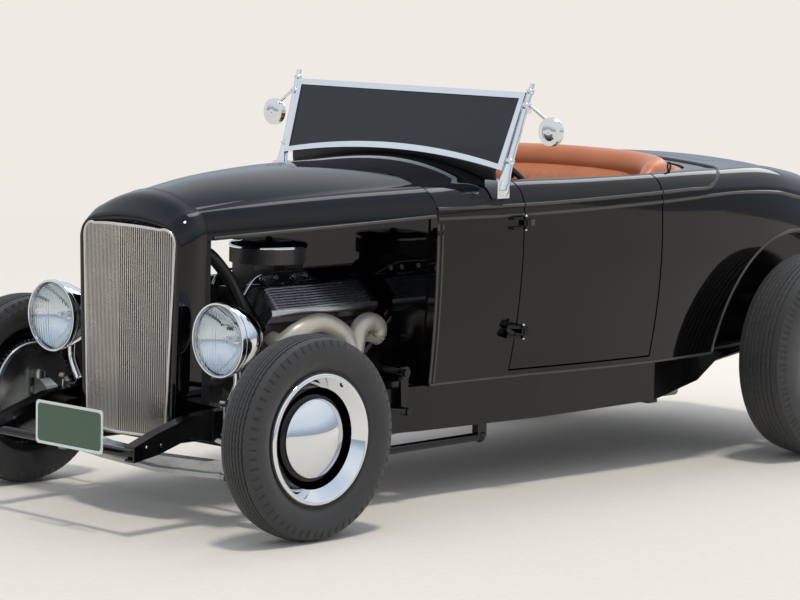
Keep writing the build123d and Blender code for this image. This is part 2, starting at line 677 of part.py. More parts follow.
def firewall():
    """Upright panel that closes the cowl's front."""
    panel = block(-700, 700, COWL_FRONT, COWL_FRONT + FIREWALL_THICKNESS, RAIL_TOP, 1200)
    panel = panel & body_loft(WALL + SEAT_GAP, open_bottom=OPEN_BOTTOM)
    inside = TUNNEL_HALF - FLOOR_THICKNESS
    panel = panel - block(-inside, inside, COWL_FRONT - 10, COWL_FRONT + 50, 300,
                          TUNNEL_TOP - FLOOR_THICKNESS)
    return panel - column_bar(COLUMN_RADIUS + 8)


def hood_face(row, inset=0.0, low=0.0):
    """Closed cross section of the hood at one station."""
    s, xs, zs, xt, zt, zc = row
    plane = Plane(origin=(0, at(s), 0), x_dir=(1, 0, 0), z_dir=(0, -1, 0))
    belt = (xs - inset, zs)
    base = (xs - inset, zs - HOOD_LIP - low)
    shoulder = (xt - inset * 0.6, zt - inset * 0.8)
    turn = (belt[0] * 0.70 + shoulder[0] * 0.30 - 2.0, belt[1] * 0.34 + shoulder[1] * 0.66 + 2.0)
    crown = (0, zc - inset)
    flip = lambda p: (-p[0], p[1])
    with BuildLine(plane) as outline:
        Line(base, belt)
        ThreePointArc(belt, turn, shoulder)
        ThreePointArc(shoulder, crown, flip(shoulder))
        ThreePointArc(flip(shoulder), flip(turn), flip(belt))
        Line(flip(belt), flip(base))
        Line(flip(base), base)
    return make_face(outline.edges())


def hood_loft(inset, low=0.0):
    """Closed body under the hood's outline, drawn in by inset."""
    return loft([hood_face(row, inset, low) for row in HOOD_SECTIONS])


def hood():
    """One-piece hood top between the shell and the cowl."""
    outer = hood_loft(0.0)
    inner = hood_loft(HOOD_SHEET, 40.0)
    span = block(-700, 700, SHELL_REAR + PANEL_GAP / 2, COWL_FRONT - PANEL_GAP / 2, 800, 1300)
    return (outer - inner) & span


def grille_shell():
    """Painted shell round the grille, its top drawn back to the hood."""
    sections = []
    # columns: s, half width, corner x, corner z, shoulder x, shoulder z, crown z
    for s, half, z_side, x_turn, z_turn, z_top in [
            (SHELL_FACE, 246, 900, 176, 972, 990), (SHELL_FACE + 40, 256, 915, 190, 1000, 1040),
            (SHELL_REAR, 250, 930, 200, 1012, 1068)]:
        plane = Plane(origin=(0, at(s), 0), x_dir=(1, 0, 0), z_dir=(0, -1, 0))
        turn = (half * 0.70 + x_turn * 0.30, z_side * 0.34 + z_turn * 0.66)
        with BuildLine(plane) as outline:
            Line((SHELL_BOTTOM_HALF, SHELL_BOTTOM), (half, z_side))
            ThreePointArc((half, z_side), turn, (x_turn, z_turn))
            ThreePointArc((x_turn, z_turn), (0, z_top), (-x_turn, z_turn))
            ThreePointArc((-x_turn, z_turn), (-turn[0], turn[1]), (-half, z_side))
            Line((-half, z_side), (-SHELL_BOTTOM_HALF, SHELL_BOTTOM))
            Line((-SHELL_BOTTOM_HALF, SHELL_BOTTOM), (SHELL_BOTTOM_HALF, SHELL_BOTTOM))
        sections.append(make_face(outline.edges()))
    body = loft(sections)
    opening = front_prism(insert_outline(0.5), SHELL_FACE - 60, SHELL_REAR + 60)
    behind = front_prism(insert_outline(-14.0), SHELL_FACE - 60, SHELL_REAR + 60)
    hollow = block(-SHELL_HALF_WIDTH, SHELL_HALF_WIDTH, SHELL_FACE + 20, SHELL_REAR + 1, 200, 950)
    return (body - opening) - (hollow & front_prism(insert_outline(16.0), SHELL_FACE, SHELL_REAR + 60)) - behind


def insert_outline(grow):
    """Front outline of the grille insert as (x, z) points, grown all round."""
    half, low = INSERT_HALF_WIDTH + grow, INSERT_BOTTOM_HALF + grow
    top, bottom, corner = INSERT_TOP + grow, INSERT_BOTTOM - grow, INSERT_CORNER
    right = [(low, bottom), (half, 560), (half - 4, top - corner),
             (half - 4 - corner * 0.3, top - corner * 0.3), (half - corner - 4, top - 8)]
    return right + [(0, top)] + [(-x, z) for x, z in right[::-1]]


def bowed_slab(ends, front, rear):
    """Upright slab with a creased plan; ends is its front at both sides, front and rear are at the crease."""
    return plan_prism([(-BOW_HALF, ends), (0, front - INSERT_BOW), (BOW_HALF, ends),
                       (BOW_HALF, rear), (0, rear - INSERT_BOW), (-BOW_HALF, rear)], 200, 1000)


def grille_insert():
    """Bowed insert of upright bars in a bright frame, pointed at its middle."""
    bow = bowed_slab(SHELL_FACE - 2, SHELL_FACE, SHELL_FACE + INSERT_DEPTH)
    rim = front_prism(insert_outline(0.0), SHELL_FACE - 80, SHELL_FACE + 60)
    rim = rim - front_prism(insert_outline(-INSERT_FRAME), SHELL_FACE - 90, SHELL_FACE + 70)
    frame = rim & bow
    window = front_prism(insert_outline(-INSERT_FRAME + 1.0), SHELL_FACE - 80, SHELL_FACE + 60)
    bars = []
    count = int((INSERT_HALF_WIDTH - INSERT_FRAME) / BAR_PITCH)
    for index in range(-count, count + 1):
        x = index * BAR_PITCH
        s = SHELL_FACE - INSERT_BOW * (1 - abs(x) / BOW_HALF)
        bars.append(block(x - BAR_THICKNESS / 2, x + BAR_THICKNESS / 2, s + 1, s + 1 + BAR_DEPTH, 240, 1000))
    slats = bars[0].fuse(*bars[1:])
    slats = slats & window
    stays = [front_prism([(-240, z), (240, z), (240, z + 5), (-240, z + 5)], SHELL_FACE - 60, SHELL_FACE + 40)
             for z in STAY_HEIGHTS]
    back = bowed_slab(SHELL_FACE + 8, SHELL_FACE + 8, SHELL_FACE + 12)
    for stay in stays:
        frame = frame + (stay & back & window)
    return frame + slats


def hinge_points():
    """Places of each door's two exposed hinges: height and the panel's half width there."""
    return [(HINGE_LOW_Z, HINGE_LOW_PANEL), (HINGE_HIGH_Z, HINGE_HIGH_PANEL)]


def body_hinges():
    """Hinge ears and pins that the cowl carries on its left side."""
    ears = None
    half = HINGE_HEIGHT / 2
    for z, panel in hinge_points():
        pin = Pos(HINGE_X, at(HINGE_S), z) * Cylinder(HINGE_PIN, HINGE_HEIGHT * 2)
        parts = [pin]
        for low, high in [(z - HINGE_HEIGHT, z - half - HINGE_PLAY), (z + half + HINGE_PLAY, z + HINGE_HEIGHT)]:
            ear = Pos(HINGE_X, at(HINGE_S), (low + high) / 2) * Cylinder(HINGE_BARREL, high - low)
            arm = block(HINGE_X - HINGE_BARREL, HINGE_X + HINGE_BARREL - 3, HINGE_S - 24, HINGE_S, low, high)
            foot = block(panel - 10, HINGE_X + HINGE_BARREL - 3, HINGE_S - 44, HINGE_S - 16, low, high)
            parts += [ear, arm, foot]
        for piece in parts:
            ears = piece if ears is None else ears + piece
    return ears


def door_hinges():
    """Hinge barrels and straps that the left door carries."""
    straps = None
    for z, panel in hinge_points():
        barrel = Pos(HINGE_X, at(HINGE_S), z) * Cylinder(HINGE_BARREL, HINGE_HEIGHT)
        arm = block(HINGE_X - HINGE_BARREL, HINGE_X + HINGE_BARREL - 3, HINGE_S, HINGE_S + 24,
                    z - HINGE_HEIGHT / 2, z + HINGE_HEIGHT / 2)
        foot = block(panel - 6, HINGE_X + HINGE_BARREL - 3, HINGE_S + 18, HINGE_S + 54,
                     z - HINGE_HEIGHT / 2, z + HINGE_HEIGHT / 2)
        bore = Pos(HINGE_X, at(HINGE_S), z) * Cylinder(HINGE_PIN + PIN_CLEARANCE, HINGE_HEIGHT * 2)
        strap = (barrel + arm + foot) - bore
        straps = strap if straps is None else straps + strap
    return straps


def front_axle():
    """Dropped I-beam axle with its kingpin bosses, pins and spring perches."""
    pin_x, depth = KINGPIN_X, AXLE_HALF_DEPTH
    top = [(0, 186), (pin_x - 358, 196), (pin_x - 178, 226), (pin_x - 62, 352),
           (pin_x - 26, BOSS_TOP), (pin_x, BOSS_TOP)]
    low = [(pin_x, BOSS_LOW), (pin_x - 22, BOSS_LOW), (pin_x - 46, 262), (pin_x - 150, 158),
           (pin_x - 358, 142), (0, 130)]
    outline = top + low + [(-x, z) for x, z in low[::-1][1:]] + [(-x, z) for x, z in top[::-1][:-1]]
    beam = front_prism(outline, -depth, depth)
    neck = [(pin_x - 58, depth), (pin_x, KINGPIN_BOSS), (pin_x, -KINGPIN_BOSS), (pin_x - 58, -depth)]
    beam = beam & plan_prism(neck + [(-x, s) for x, s in neck[::-1]], 100, 400)
    web_top = [(0, 172), (pin_x - 364, 182), (pin_x - 186, 212), (pin_x - 70, 338)]
    web_low = [(pin_x - 58, 290), (pin_x - 156, 176), (pin_x - 360, 157), (0, 145)]
    mirrored = [(-x, z) for x, z in web_low[::-1][1:]] + [(-x, z) for x, z in web_top[::-1][:-1]]
    pocket = web_top + web_low + mirrored
    for side in (-1, 1):
        beam = beam - front_prism(pocket, min(side * 7, side * 40), max(side * 7, side * 40))
    boss = Pos(pin_x, at(0), (BOSS_LOW + BOSS_TOP) / 2) * Cylinder(KINGPIN_BOSS, BOSS_TOP - BOSS_LOW)
    pin = Pos(pin_x, at(0), FRONT_TYRE_RADIUS) * Cylinder(KINGPIN_RADIUS, KINGPIN_LENGTH) + boss
    perch = rod((PERCH_X, -20, 186), (PERCH_X, 60, 186), 16)
    perch = perch + rod((PERCH_X, -LEAF_WIDTH / 2 + SEAT_GAP, SHACKLE_Z),
                        (PERCH_X, LEAF_WIDTH / 2 - SEAT_GAP, SHACKLE_Z), 12)
    perch = perch + block(PERCH_X - 8, PERCH_X + 8, -20, 20, 220, SHACKLE_Z)
    return beam + both_sides(pin) + both_sides(perch)


def front_spring():
    """Transverse leaf pack under the front crossmember with its shackles."""
    pack = None
    for leaf in range(SPRING_LEAVES):
        reach = SPRING_HALF - leaf * 62.0
        drop = SPRING_CAMBER * (reach / SPRING_HALF) ** 2
        high = SPRING_TOP - (SPRING_LEAVES - 1 - leaf) * LEAF_THICKNESS
        plane = Plane(origin=(0, at(-LEAF_WIDTH / 2), 0), x_dir=(1, 0, 0), z_dir=(0, -1, 0))
        with BuildLine(plane) as outline:
            ThreePointArc((-reach, high - drop), (0, high), (reach, high - drop))
            Line((reach, high - drop), (reach, high - drop - LEAF_THICKNESS))
            ThreePointArc((reach, high - drop - LEAF_THICKNESS), (0, high - LEAF_THICKNESS),
                          (-reach, high - drop - LEAF_THICKNESS))
            Line((-reach, high - drop - LEAF_THICKNESS), (-reach, high - drop))
        strip = extrude(make_face(outline.edges()), amount=LEAF_WIDTH, dir=(0, 1, 0))
        pack = strip if pack is None else pack + strip
    eye_z = SPRING_TOP - (SPRING_LEAVES - 1) * LEAF_THICKNESS - SPRING_CAMBER - 4
    eye = rod((SPRING_HALF, -LEAF_WIDTH / 2, eye_z), (SPRING_HALF, LEAF_WIDTH / 2, eye_z), 13)
    links = []
    for s0, s1 in [(-LEAF_WIDTH / 2 - 6, -LEAF_WIDTH / 2), (LEAF_WIDTH / 2, LEAF_WIDTH / 2 + 6)]:
        links.append(front_prism([(SPRING_HALF - 13, eye_z - 8), (SPRING_HALF, eye_z - 13),
                                  (PERCH_X + 12, SHACKLE_Z - 8),
                                  (PERCH_X + 13, SHACKLE_Z + 8), (PERCH_X, SHACKLE_Z + 13),
                                  (SPRING_HALF - 10, eye_z + 10)], s0, s1))
    clamp = block(-60, 60, -LEAF_WIDTH / 2 - 4, LEAF_WIDTH / 2 + 4, SPRING_TOP - 66, SPRING_TOP)
    side = eye + links[0] + links[1]
    return pack + both_sides(side) + clamp


def wishbones():
    """Split wishbones from the axle's perches back to brackets on the rails."""
    bone = rod((PERCH_X, 60.9, 186), (WISHBONE_REAR_X, WISHBONE_REAR_S, WISHBONE_REAR_Z), 15)
    yoke = Pos(WISHBONE_REAR_X, at(WISHBONE_REAR_S), WISHBONE_REAR_Z) * Sphere(22)
    hanger = block(WISHBONE_REAR_X - 14, WISHBONE_REAR_X + 14, WISHBONE_REAR_S - 22, WISHBONE_REAR_S + 22,
                   WISHBONE_REAR_Z, 240)
    return both_sides(bone + yoke + hanger)


def knuckle(side):
    """Spindle, kingpin ears, backing plate and steering arms of one front corner."""
    z = FRONT_TYRE_RADIUS
    spindle = rod((KINGPIN_X + 10, 0, z), (WHEEL_X + DISC_FACE - 10, 0, z), SPINDLE_RADIUS)
    body = spindle
    for low, high in [(258, BOSS_LOW - EAR_GAP), (BOSS_TOP + EAR_GAP, 398)]:
        ear = Pos(KINGPIN_X, at(0), (low + high) / 2) * Cylinder(19, high - low)
        web = block(KINGPIN_X, PLATE_X, -16, 16, low, high)
        body = body + ear + web
    yoke = KINGPIN_X + KINGPIN_BOSS + KNUCKLE_GAP
    back = rod((yoke, 0, z), (yoke + 16, 0, z), 36) + block(yoke, PLATE_X, -16, 16, 258, 398)
    plate = rod((PLATE_X - 3, 0, z), (PLATE_X, 0, z), FRONT_DRUM_RADIUS - 10)
    arm = side_prism([(0, 262), (40, 258), (STEER_ARM - 14, TIE_ROD_Z + 12), (STEER_ARM + 14, TIE_ROD_Z + 12),
                      (STEER_ARM + 14, TIE_ROD_Z + 26), (STEER_ARM - 20, TIE_ROD_Z + 28), (30, 284), (0, 284)],
                     KINGPIN_X - 9, KINGPIN_X + 9)
    body = body + back + plate + arm
    bore = Pos(KINGPIN_X, at(0), z) * Cylinder(KINGPIN_RADIUS + PIN_CLEARANCE, 300)
    room = Pos(KINGPIN_X, at(0), (BOSS_LOW + BOSS_TOP) / 2)
    body = body - bore - room * Cylinder(KINGPIN_BOSS + KNUCKLE_GAP, BOSS_TOP - BOSS_LOW + 2 * EAR_GAP)
    if side > 0:
        drag = block(KINGPIN_X - DRAG_ARM, KINGPIN_X, -11, 11, DRAG_ARM_Z - 14, DRAG_ARM_Z)
        cap = Pos(KINGPIN_X, at(0), 391) * Cylinder(19, 14)
        ball = Pos(KINGPIN_X - DRAG_ARM, at(0), DRAG_ARM_Z - 7) * Cylinder(13, 14)
        body = body + (drag - bore) + (cap - bore) + ball
    return body if side > 0 else mirror(body, about=Plane.YZ)


def tie_rod():
    """Tie rod whose eyes hang under the two steering arms."""
    s = STEER_ARM
    bar = rod((-KINGPIN_X, s, TIE_ROD_Z), (KINGPIN_X, s, TIE_ROD_Z), TIE_ROD_RADIUS)
    eye = Pos(KINGPIN_X, at(s), TIE_ROD_Z) * Cylinder(13, 2 * (12 - SEAT_GAP))
    return bar + both_sides(eye)


def drag_link():
    """Rod from the left knuckle's arm back to the pitman arm."""
    x, z = KINGPIN_X - DRAG_ARM, DRAG_ARM_Z + 13
    end_x, end_z = PITMAN_X + 26, SECTOR_Z - PITMAN_LENGTH
    bar = rod((x, 0, z), (end_x, SECTOR_S, end_z), LINK_RADIUS)
    front = Pos(x, at(0), z) * Cylinder(13, 2 * (13 - SEAT_GAP))
    rear = rod((end_x - 13, SECTOR_S, end_z), (end_x + 13, SECTOR_S, end_z), 14)
    return bar + front + rear


def pitman_arm():
    """Arm on the steering box's cross shaft, hanging outside the rail."""
    z = SECTOR_Z
    arm = side_prism([(SECTOR_S - 20, z + 14), (SECTOR_S + 20, z + 14), (SECTOR_S + 13, z - PITMAN_LENGTH - 10),
                      (SECTOR_S - 13, z - PITMAN_LENGTH - 10)], PITMAN_X, PITMAN_X + PITMAN_THICKNESS)
    hub = rod((PITMAN_X, SECTOR_S, z), (PITMAN_X + PITMAN_THICKNESS + 5, SECTOR_S, z), 22)
    bore = rod((PITMAN_X - 30, SECTOR_S, z), (PITMAN_X + 60, SECTOR_S, z), SECTOR_RADIUS + PIN_CLEARANCE)
    return (arm + hub) - bore


def steering_column():
    """Steering box on the left rail, its cross shaft and the column tube."""
    box = block(COLUMN_X - 34, COLUMN_X + 34, SECTOR_S - 46, SECTOR_S + 46, SECTOR_Z - 42, SECTOR_Z + 52)
    seat = block(COLUMN_X + 20, rail_inner(SECTOR_S) + 30, SECTOR_S - 46, SECTOR_S + 46, RAIL_TOP + SEAT_GAP,
                 SECTOR_Z - 34)
    shaft = rod((COLUMN_X, SECTOR_S, SECTOR_Z), (PITMAN_X + PITMAN_THICKNESS + 12, SECTOR_S, SECTOR_Z),
                SECTOR_RADIUS)
    return box + seat + shaft + column_bar(COLUMN_RADIUS)


def column_bar(radius):
    """Round bar along the steering column from its box up to the wheel's hub."""
    tilt = radians(COLUMN_TILT)
    stop_s = STEERING_WHEEL_S - (HUB_BACK + SEAT_GAP) * cos(tilt)
    stop_z = STEERING_WHEEL_Z - (HUB_BACK + SEAT_GAP) * sin(tilt)
    low_z = SECTOR_Z + 30
    low_s = stop_s - (stop_z - low_z) * cos(tilt) / sin(tilt)
    return rod((COLUMN_X, low_s, low_z), (COLUMN_X, stop_s, stop_z), radius)


def rail_value(s, column):
    """Give one column of the rail's table at any station between its ends."""
    for low, high in zip(RAIL_STATIONS, RAIL_STATIONS[1:]):
        if low[0] <= s <= high[0]:
            return low[column] + (high[column] - low[column]) * (s - low[0]) / (high[0] - low[0])
    return RAIL_STATIONS[-1][column]


def rail_outer(s):
    """Give the X of the rail's outer face at a station."""
    return rail_value(s, 1)


def rail_inner(s):
    """Give the X of the rail's inner flange edge at a station."""
    return rail_outer(s) - RAIL_FLANGE_WIDTH


def rail_top(s):
    """Give the height of the rail's top face at a station."""
    return rail_value(s, 2)


def steering_wheel():
    """Rim, three spokes and hub on the column's end."""
    axis = Vector(0, cos(radians(COLUMN_TILT)), sin(radians(COLUMN_TILT)))
    centre = Vector(COLUMN_X, at(STEERING_WHEEL_S), STEERING_WHEEL_Z)
    plane = Plane(origin=centre, x_dir=(1, 0, 0), z_dir=axis)
    rim = Torus(STEERING_WHEEL_RADIUS, STEERING_WHEEL_RIM)
    hub = Pos(0, 0, (HUB_FRONT - HUB_BACK) / 2) * Cylinder(30, HUB_FRONT + HUB_BACK)
    shape = rim + hub
    for turn in range(3):
        spoke = Pos(STEERING_WHEEL_RADIUS / 2, 0, 0) * Box(STEERING_WHEEL_RADIUS, 20, 6)
        shape = shape + Rot(0, 0, 90 + 120 * turn) * spoke
    return plane * shape


def engine_block():
    """Block, heads, sump, bell housing and gearbox of the engine."""
    front, rear = BLOCK_FRONT, BLOCK_FRONT + BLOCK_LENGTH
    core = front_prism([(-90, 400), (90, 400), (110, 470), (200, 600), (120, 690), (VALLEY_HALF, VALLEY_Z),
                        (-VALLEY_HALF, VALLEY_Z), (-120, 690), (-200, 600), (-110, 470)], front, rear)
    sump = block(-95, 95, front + 40, rear - 60, 285, 400)
    bell = front_prism([(-130, 340), (130, 340), (150, 480), (90, 600), (-90, 600), (-150, 480)],
                       rear, rear + 20)
    gearbox = block(-100, 100, rear + 20, 1180, 335, 520)
    tail = block(-56, 56, 1180, GEARBOX_END, 360, 480)
    mount = block(-50, 50, 1210, 1270, 322, 360)
    arm_end = rail_outer(MOUNT_S) - RAIL_WEB - 4
    foot = block(60, arm_end, MOUNT_S - 21, MOUNT_S + 21, 430, 470)
    foot = foot + block(arm_end - 26, arm_end, MOUNT_S - 30, MOUNT_S + 30,
                        rail_top(MOUNT_S + 30) + SEAT_GAP, 440)
    return core + sump + both_sides(cylinder_head()) + bell + gearbox + tail + mount + both_sides(foot)


def cylinder_head():
    """Left cylinder head, a block on the bank's slope."""
    middle = at(BLOCK_FRONT + BLOCK_LENGTH / 2)
    place = Pos(0, middle, CRANK_Z) * Rot(0, BANK_ANGLE, 0) * Pos(0, 0, HEAD_TOP - HEAD_HEIGHT / 2)
    return place * Box(BANK_WIDTH, BLOCK_LENGTH - 20, HEAD_HEIGHT)


def valve_covers():
    """Finned valve covers on the two heads."""
    middle = at(BLOCK_FRONT + BLOCK_LENGTH / 2)
    base = HEAD_TOP + SEAT_GAP
    cover = Box(COVER_WIDTH, COVER_LENGTH, COVER_HEIGHT)
    cover = fillet(cover.edges().filter_by(Axis.Y).group_by(Axis.Z)[-1], 20)
    shape = cover
    for index in range(COVER_FINS):
        x = (index - (COVER_FINS - 1) / 2) * COVER_FIN_PITCH
        shape = shape + Pos(x, 0, COVER_HEIGHT / 2) * Box(4, COVER_LENGTH - 60, 14)
    place = Pos(0, middle, CRANK_Z) * Rot(0, BANK_ANGLE, 0) * Pos(0, 0, base + COVER_HEIGHT / 2)
    return both_sides(place * shape)


def exhaust():
    """Ram's horn manifolds and the pipes that run back under the floor."""
    r, x, port, z = MANIFOLD_RADIUS, MANIFOLD_X, MANIFOLD_PORT_X, PORT_Z
    low, tail = EXHAUST_Z, x - 70
    front = pipe([(port, 306, z), (x, 310, z), (x, 344, 694), (x, 510, 700), (x, 578, 610),
                  (x, OUTLET_S, 500)],
                 r, [30, 40, 60, 40])
    rear = pipe([(x, 746, 612), (x, 706, 694), (x, 640, 690), (x, OUTLET_S, 520)], r, [30, 30])
    rear = rear + pipe([(port, 690, z), (x, 690, z), (x, 704, 660)], r - 1, [30])
    middle = rod((port, 524, z), (x, 580, z + 10), r - 4)
    tube = pipe([(x, OUTLET_S, 510), (x, OUTLET_S + 2, low), (tail, 900, low), (tail, EXHAUST_END, low)],
                EXHAUST_RADIUS, [60, 80])
    return both_sides((front + rear + middle + tube) - cylinder_head())


def carburettors():
    """Intake manifold, carburettors and the round air cleaner."""
    s = CARB_S
    manifold = front_prism([(-VALLEY_HALF, VALLEY_Z), (VALLEY_HALF, VALLEY_Z), (62, 680), (75, 700), (60, 722),
                            (-60, 722), (-75, 700), (-62, 680)], s - 170, s + 170)
    body = manifold
    for offset in (-70, 70):
        body = body + block(-55, 55, s + offset - 45, s + offset + 45, 715, 800)
        body = body + rod((-75, s + offset, 745), (75, s + offset, 745), 18)
    cleaner = Pos(0, at(s), 832) * Cylinder(CLEANER_RADIUS, 64)
    return body + cleaner


def engine_front():
    """Water pump, fan, pulleys, belt and generator ahead of the block."""
    s = BLOCK_FRONT
    pump = rod((0, s - 90, 620), (0, s, 620), 48)
    fan_hub = rod((0, s - 118, 620), (0, s - 90, 620), 34)
    crank = rod((0, s - 78, CRANK_Z), (0, s, CRANK_Z), 80)
    generator = rod((-120, s - 130, 735), (-120, s - 8, 735), 54)
    strut = block(-150, -100, s - 20, s, 600, 700)
    shape = pump + fan_hub + crank + generator + strut
    for turn in range(4):
        blade = Pos(95, 0, 0) * Rot(28, 0, 0) * Box(150, 4, 48)
        shape = shape + Pos(0, at(s - 104), 620) * Rot(0, 45 + 90 * turn, 0) * blade
    belt = front_prism([(-148, 782), (-178, 738), (-82, 470), (-40, 404),
                        (40, 404), (82, 470), (60, 640), (-110, 790)],
                       s - 74, s - 60)
    belt = belt - front_prism([(-142, 774), (-168, 738), (-74, 474), (-36, 412),
                               (36, 412), (74, 474), (50, 636),
                               (-112, 780)], s - 80, s - 50)
    return shape + belt


def radiator():
    """Core and tanks behind the grille."""
    core = block(-205, 205, -20, 38, 381 + SEAT_GAP, 930)
    top = block(-180, 180, -24, 50, 925, 985)
    return core + top


def headlamps():
    """Two lamp shells with rims, on curved stands from the rails."""
    profile = [(0, 0), (LAMP_RADIUS - 12, 0), (LAMP_RADIUS - 10, -9), (LAMP_RADIUS, -6), (LAMP_RADIUS, 22),
               (LAMP_RADIUS - 10, 34), (LAMP_RADIUS - 30, 92), (LAMP_RADIUS - 62, 138), (30, LAMP_DEPTH - 8),
               (0, LAMP_DEPTH)]
    shell = revolve(upright(Polygon(*profile, align=None).face()), axis=Axis.Y)
    bowl = revolve(upright(Polygon((0, -20), (LAMP_RADIUS - 8, -20), (LAMP_RADIUS - 8, 6), (70, 60), (0, 78),
                                   align=None).face()), axis=Axis.Y)
    lamp = Pos(LAMP_X, at(LAMP_S), LAMP_Z) * (shell - bowl)
    s = LAMP_S + LAMP_STEM
    rail_x = rail_inner(s)
    stem = pipe([(LAMP_X - 2, s, LAMP_Z - LAMP_RADIUS + 34), (LAMP_X - 10, s, 450), (rail_x + 26, s, 392)],
                11, [30])
    pad = block(rail_x + 4, rail_x + 42, s - 22, s + 22, rail_top(s + 22) + SEAT_GAP, 396)
    return both_sides(lamp + stem + pad)


def headlamp_lenses():
    """Domed lenses inside the lamp rims."""
    r = LAMP_RADIUS - 8 - SEAT_GAP
    ball = dome_radius(r, LENS_RISE)
    edge = -LENS_EDGE
    with BuildLine(Plane.XY) as outline:
        Line((0, 0), (r, 0))
        Line((r, 0), (r, edge))
        ThreePointArc((r, edge), (r / 2, edge - LENS_RISE + (ball - (ball ** 2 - r ** 2 / 4) ** 0.5)),
                      (0, edge - LENS_RISE))
        Line((0, edge - LENS_RISE), (0, 0))
    lens = revolve(upright(make_face(outline.edges()).face()), axis=Axis.Y)
    return both_sides(Pos(LAMP_X, at(LAMP_S), LAMP_Z) * Pos(0, 3, 0) * lens)


def front_shocks():
    """Lever shocks on the rails with upright links down to the axle."""
    s, x = SHOCK_S, SHOCK_X
    centre = s + SHOCK_ARM
    face = rail_outer(centre + SHOCK_RADIUS) + SEAT_GAP
    body = rod((face, centre, 352), (x - 5, centre, 352), SHOCK_RADIUS)
    lever = side_prism([(centre + 8, 366), (centre, 338), (s - 8, 400), (s - 4, 416)], x - 8, x + 2)
    link = rod((x, s, 408), (x, s, 170), 6)
    top = rod((x - 12, s, 408), (x + 12, s, 408), 12)
    foot = rod((x - 12, s, 168), (x + 12, s, 168), 12)
    bracket = block(x - 10, x + 10, s, -AXLE_HALF_DEPTH - SEAT_GAP, 160, 182)
    return both_sides(body + lever + link + top + foot + bracket)


def rear_axle():
    """Axle tubes, differential and backing plates."""
    z, s = REAR_TYRE_RADIUS, WHEELBASE
    plate_x = WHEEL_X + DISC_FACE - 16 - REAR_DRUM_WIDTH - 6
    tube = rod((-plate_x, s, z), (plate_x, s, z), REAR_TUBE_RADIUS)
    pumpkin = Pos(0, at(s), z) * Sphere(DIFF_RADIUS)
    plate = rod((plate_x - 4, s, z), (plate_x, s, z), REAR_DRUM_RADIUS - 8)
    shaft = rod((plate_x, s, z), (WHEEL_X + DISC_FACE - 10, s, z), SPINDLE_RADIUS)
    torque = rod((0, GEARBOX_END + SEAT_GAP + 1, 418), (0, s, z), 34)
    return tube + pumpkin + both_sides(plate + shaft) + torque


def rear_links():
    """Radius rods, their hangers and the transverse spring behind the rear axle."""
    z, s = REAR_TYRE_RADIUS, WHEELBASE
    arm = rod((410, s - REAR_TUBE_RADIUS - 2 * SEAT_GAP, z), (425, REAR_ARM_S, 300), 14)
    front, rear = REAR_ARM_S - 25, REAR_ARM_S + 25
    hanger = block(411, 439, front, rear, 238, 318) + block(425, 510, front, rear, 238, 249.4)
    perch = block(500, 530, s + REAR_TUBE_RADIUS + SEAT_GAP, s + 150, 372, 394)
    shackle = block(506, 520, s + 105, s + 140, 390, 406)
    # columns: x, underside z of the spring
    low = [(520, 398), (400, 424), (260, 452), (0, 478)]
    under = low + [(-x, z_low) for x, z_low in low[::-1][1:]]
    spring = front_prism(under + [(x, z_low + 16) for x, z_low in under[::-1]], s + 101, s + 145)
    clamp = block(-60, 60, REAR_BEAM_S - 33, REAR_BEAM_S + 33, 474, REAR_BEAM_Z)
    return both_sides(arm + hanger + perch + shackle) + spring + clamp


def fuel_tank():
    """Tank under the tail between the rear rails."""
    tank = block(-360, 360, TANK_FRONT, TAIL - TAIL_PANEL - 10, 420, 545)
    return fillet(tank.edges().filter_by(Axis.X), 24)


def screen_plane():
    """Plane of the windshield: X across, Y up the glass, origin at its lower middle."""
    lean = Vector(0, SCREEN_TOP_S - SCREEN_BOTTOM_S, SCREEN_TOP_Z - SCREEN_BOTTOM_Z)
    normal = Vector(1, 0, 0).cross(lean)
    return Plane(origin=(0, at(SCREEN_BOTTOM_S), SCREEN_BOTTOM_Z), x_dir=(1, 0, 0), z_dir=normal)


def screen_outline(inset):
    """Closed outline of the windshield in its own plane, drawn in by inset."""
    height = hypot(SCREEN_TOP_S - SCREEN_BOTTOM_S, SCREEN_TOP_Z - SCREEN_BOTTOM_Z)
    low, high = SCREEN_HALF_BOTTOM - inset, SCREEN_HALF_TOP - inset
    with BuildLine() as outline:
        Line((low, inset), (high, height - inset))
        Line((high, height - inset), (-high, height - inset))
        Line((-high, height - inset), (-low, inset))
        ThreePointArc((-low, inset), (0, inset + SCREEN_SAG), (low, inset))
    return make_face(outline.edges())


def windshield_frame():
    """Chrome frame round the glass with its side posts."""
    plane = screen_plane()
    frame = extrude(screen_outline(0) - screen_outline(SCREEN_FRAME), amount=SCREEN_FRAME_DEPTH / 2, both=True)
    groove = extrude(screen_outline(SCREEN_FRAME - 8), amount=GLASS_THICKNESS / 2 + SEAT_GAP, both=True)
    frame = plane * (frame - groove)
    post = rod(POST_FOOT, POST_TOP, POST_RADIUS)
    foot = block(496, 556, 1036, 1096, 1030, 1092)
    ear = block(545, 580, 1150, 1172, 1318, 1340)
    return (frame + both_sides(post + foot + ear)) - body_loft(-SEAT_GAP)


def windshield_glass():
    """Flat pane held in the frame's groove."""
    pane = extrude(screen_outline(SCREEN_FRAME - 7), amount=GLASS_THICKNESS / 2, both=True)
    return screen_plane() * pane


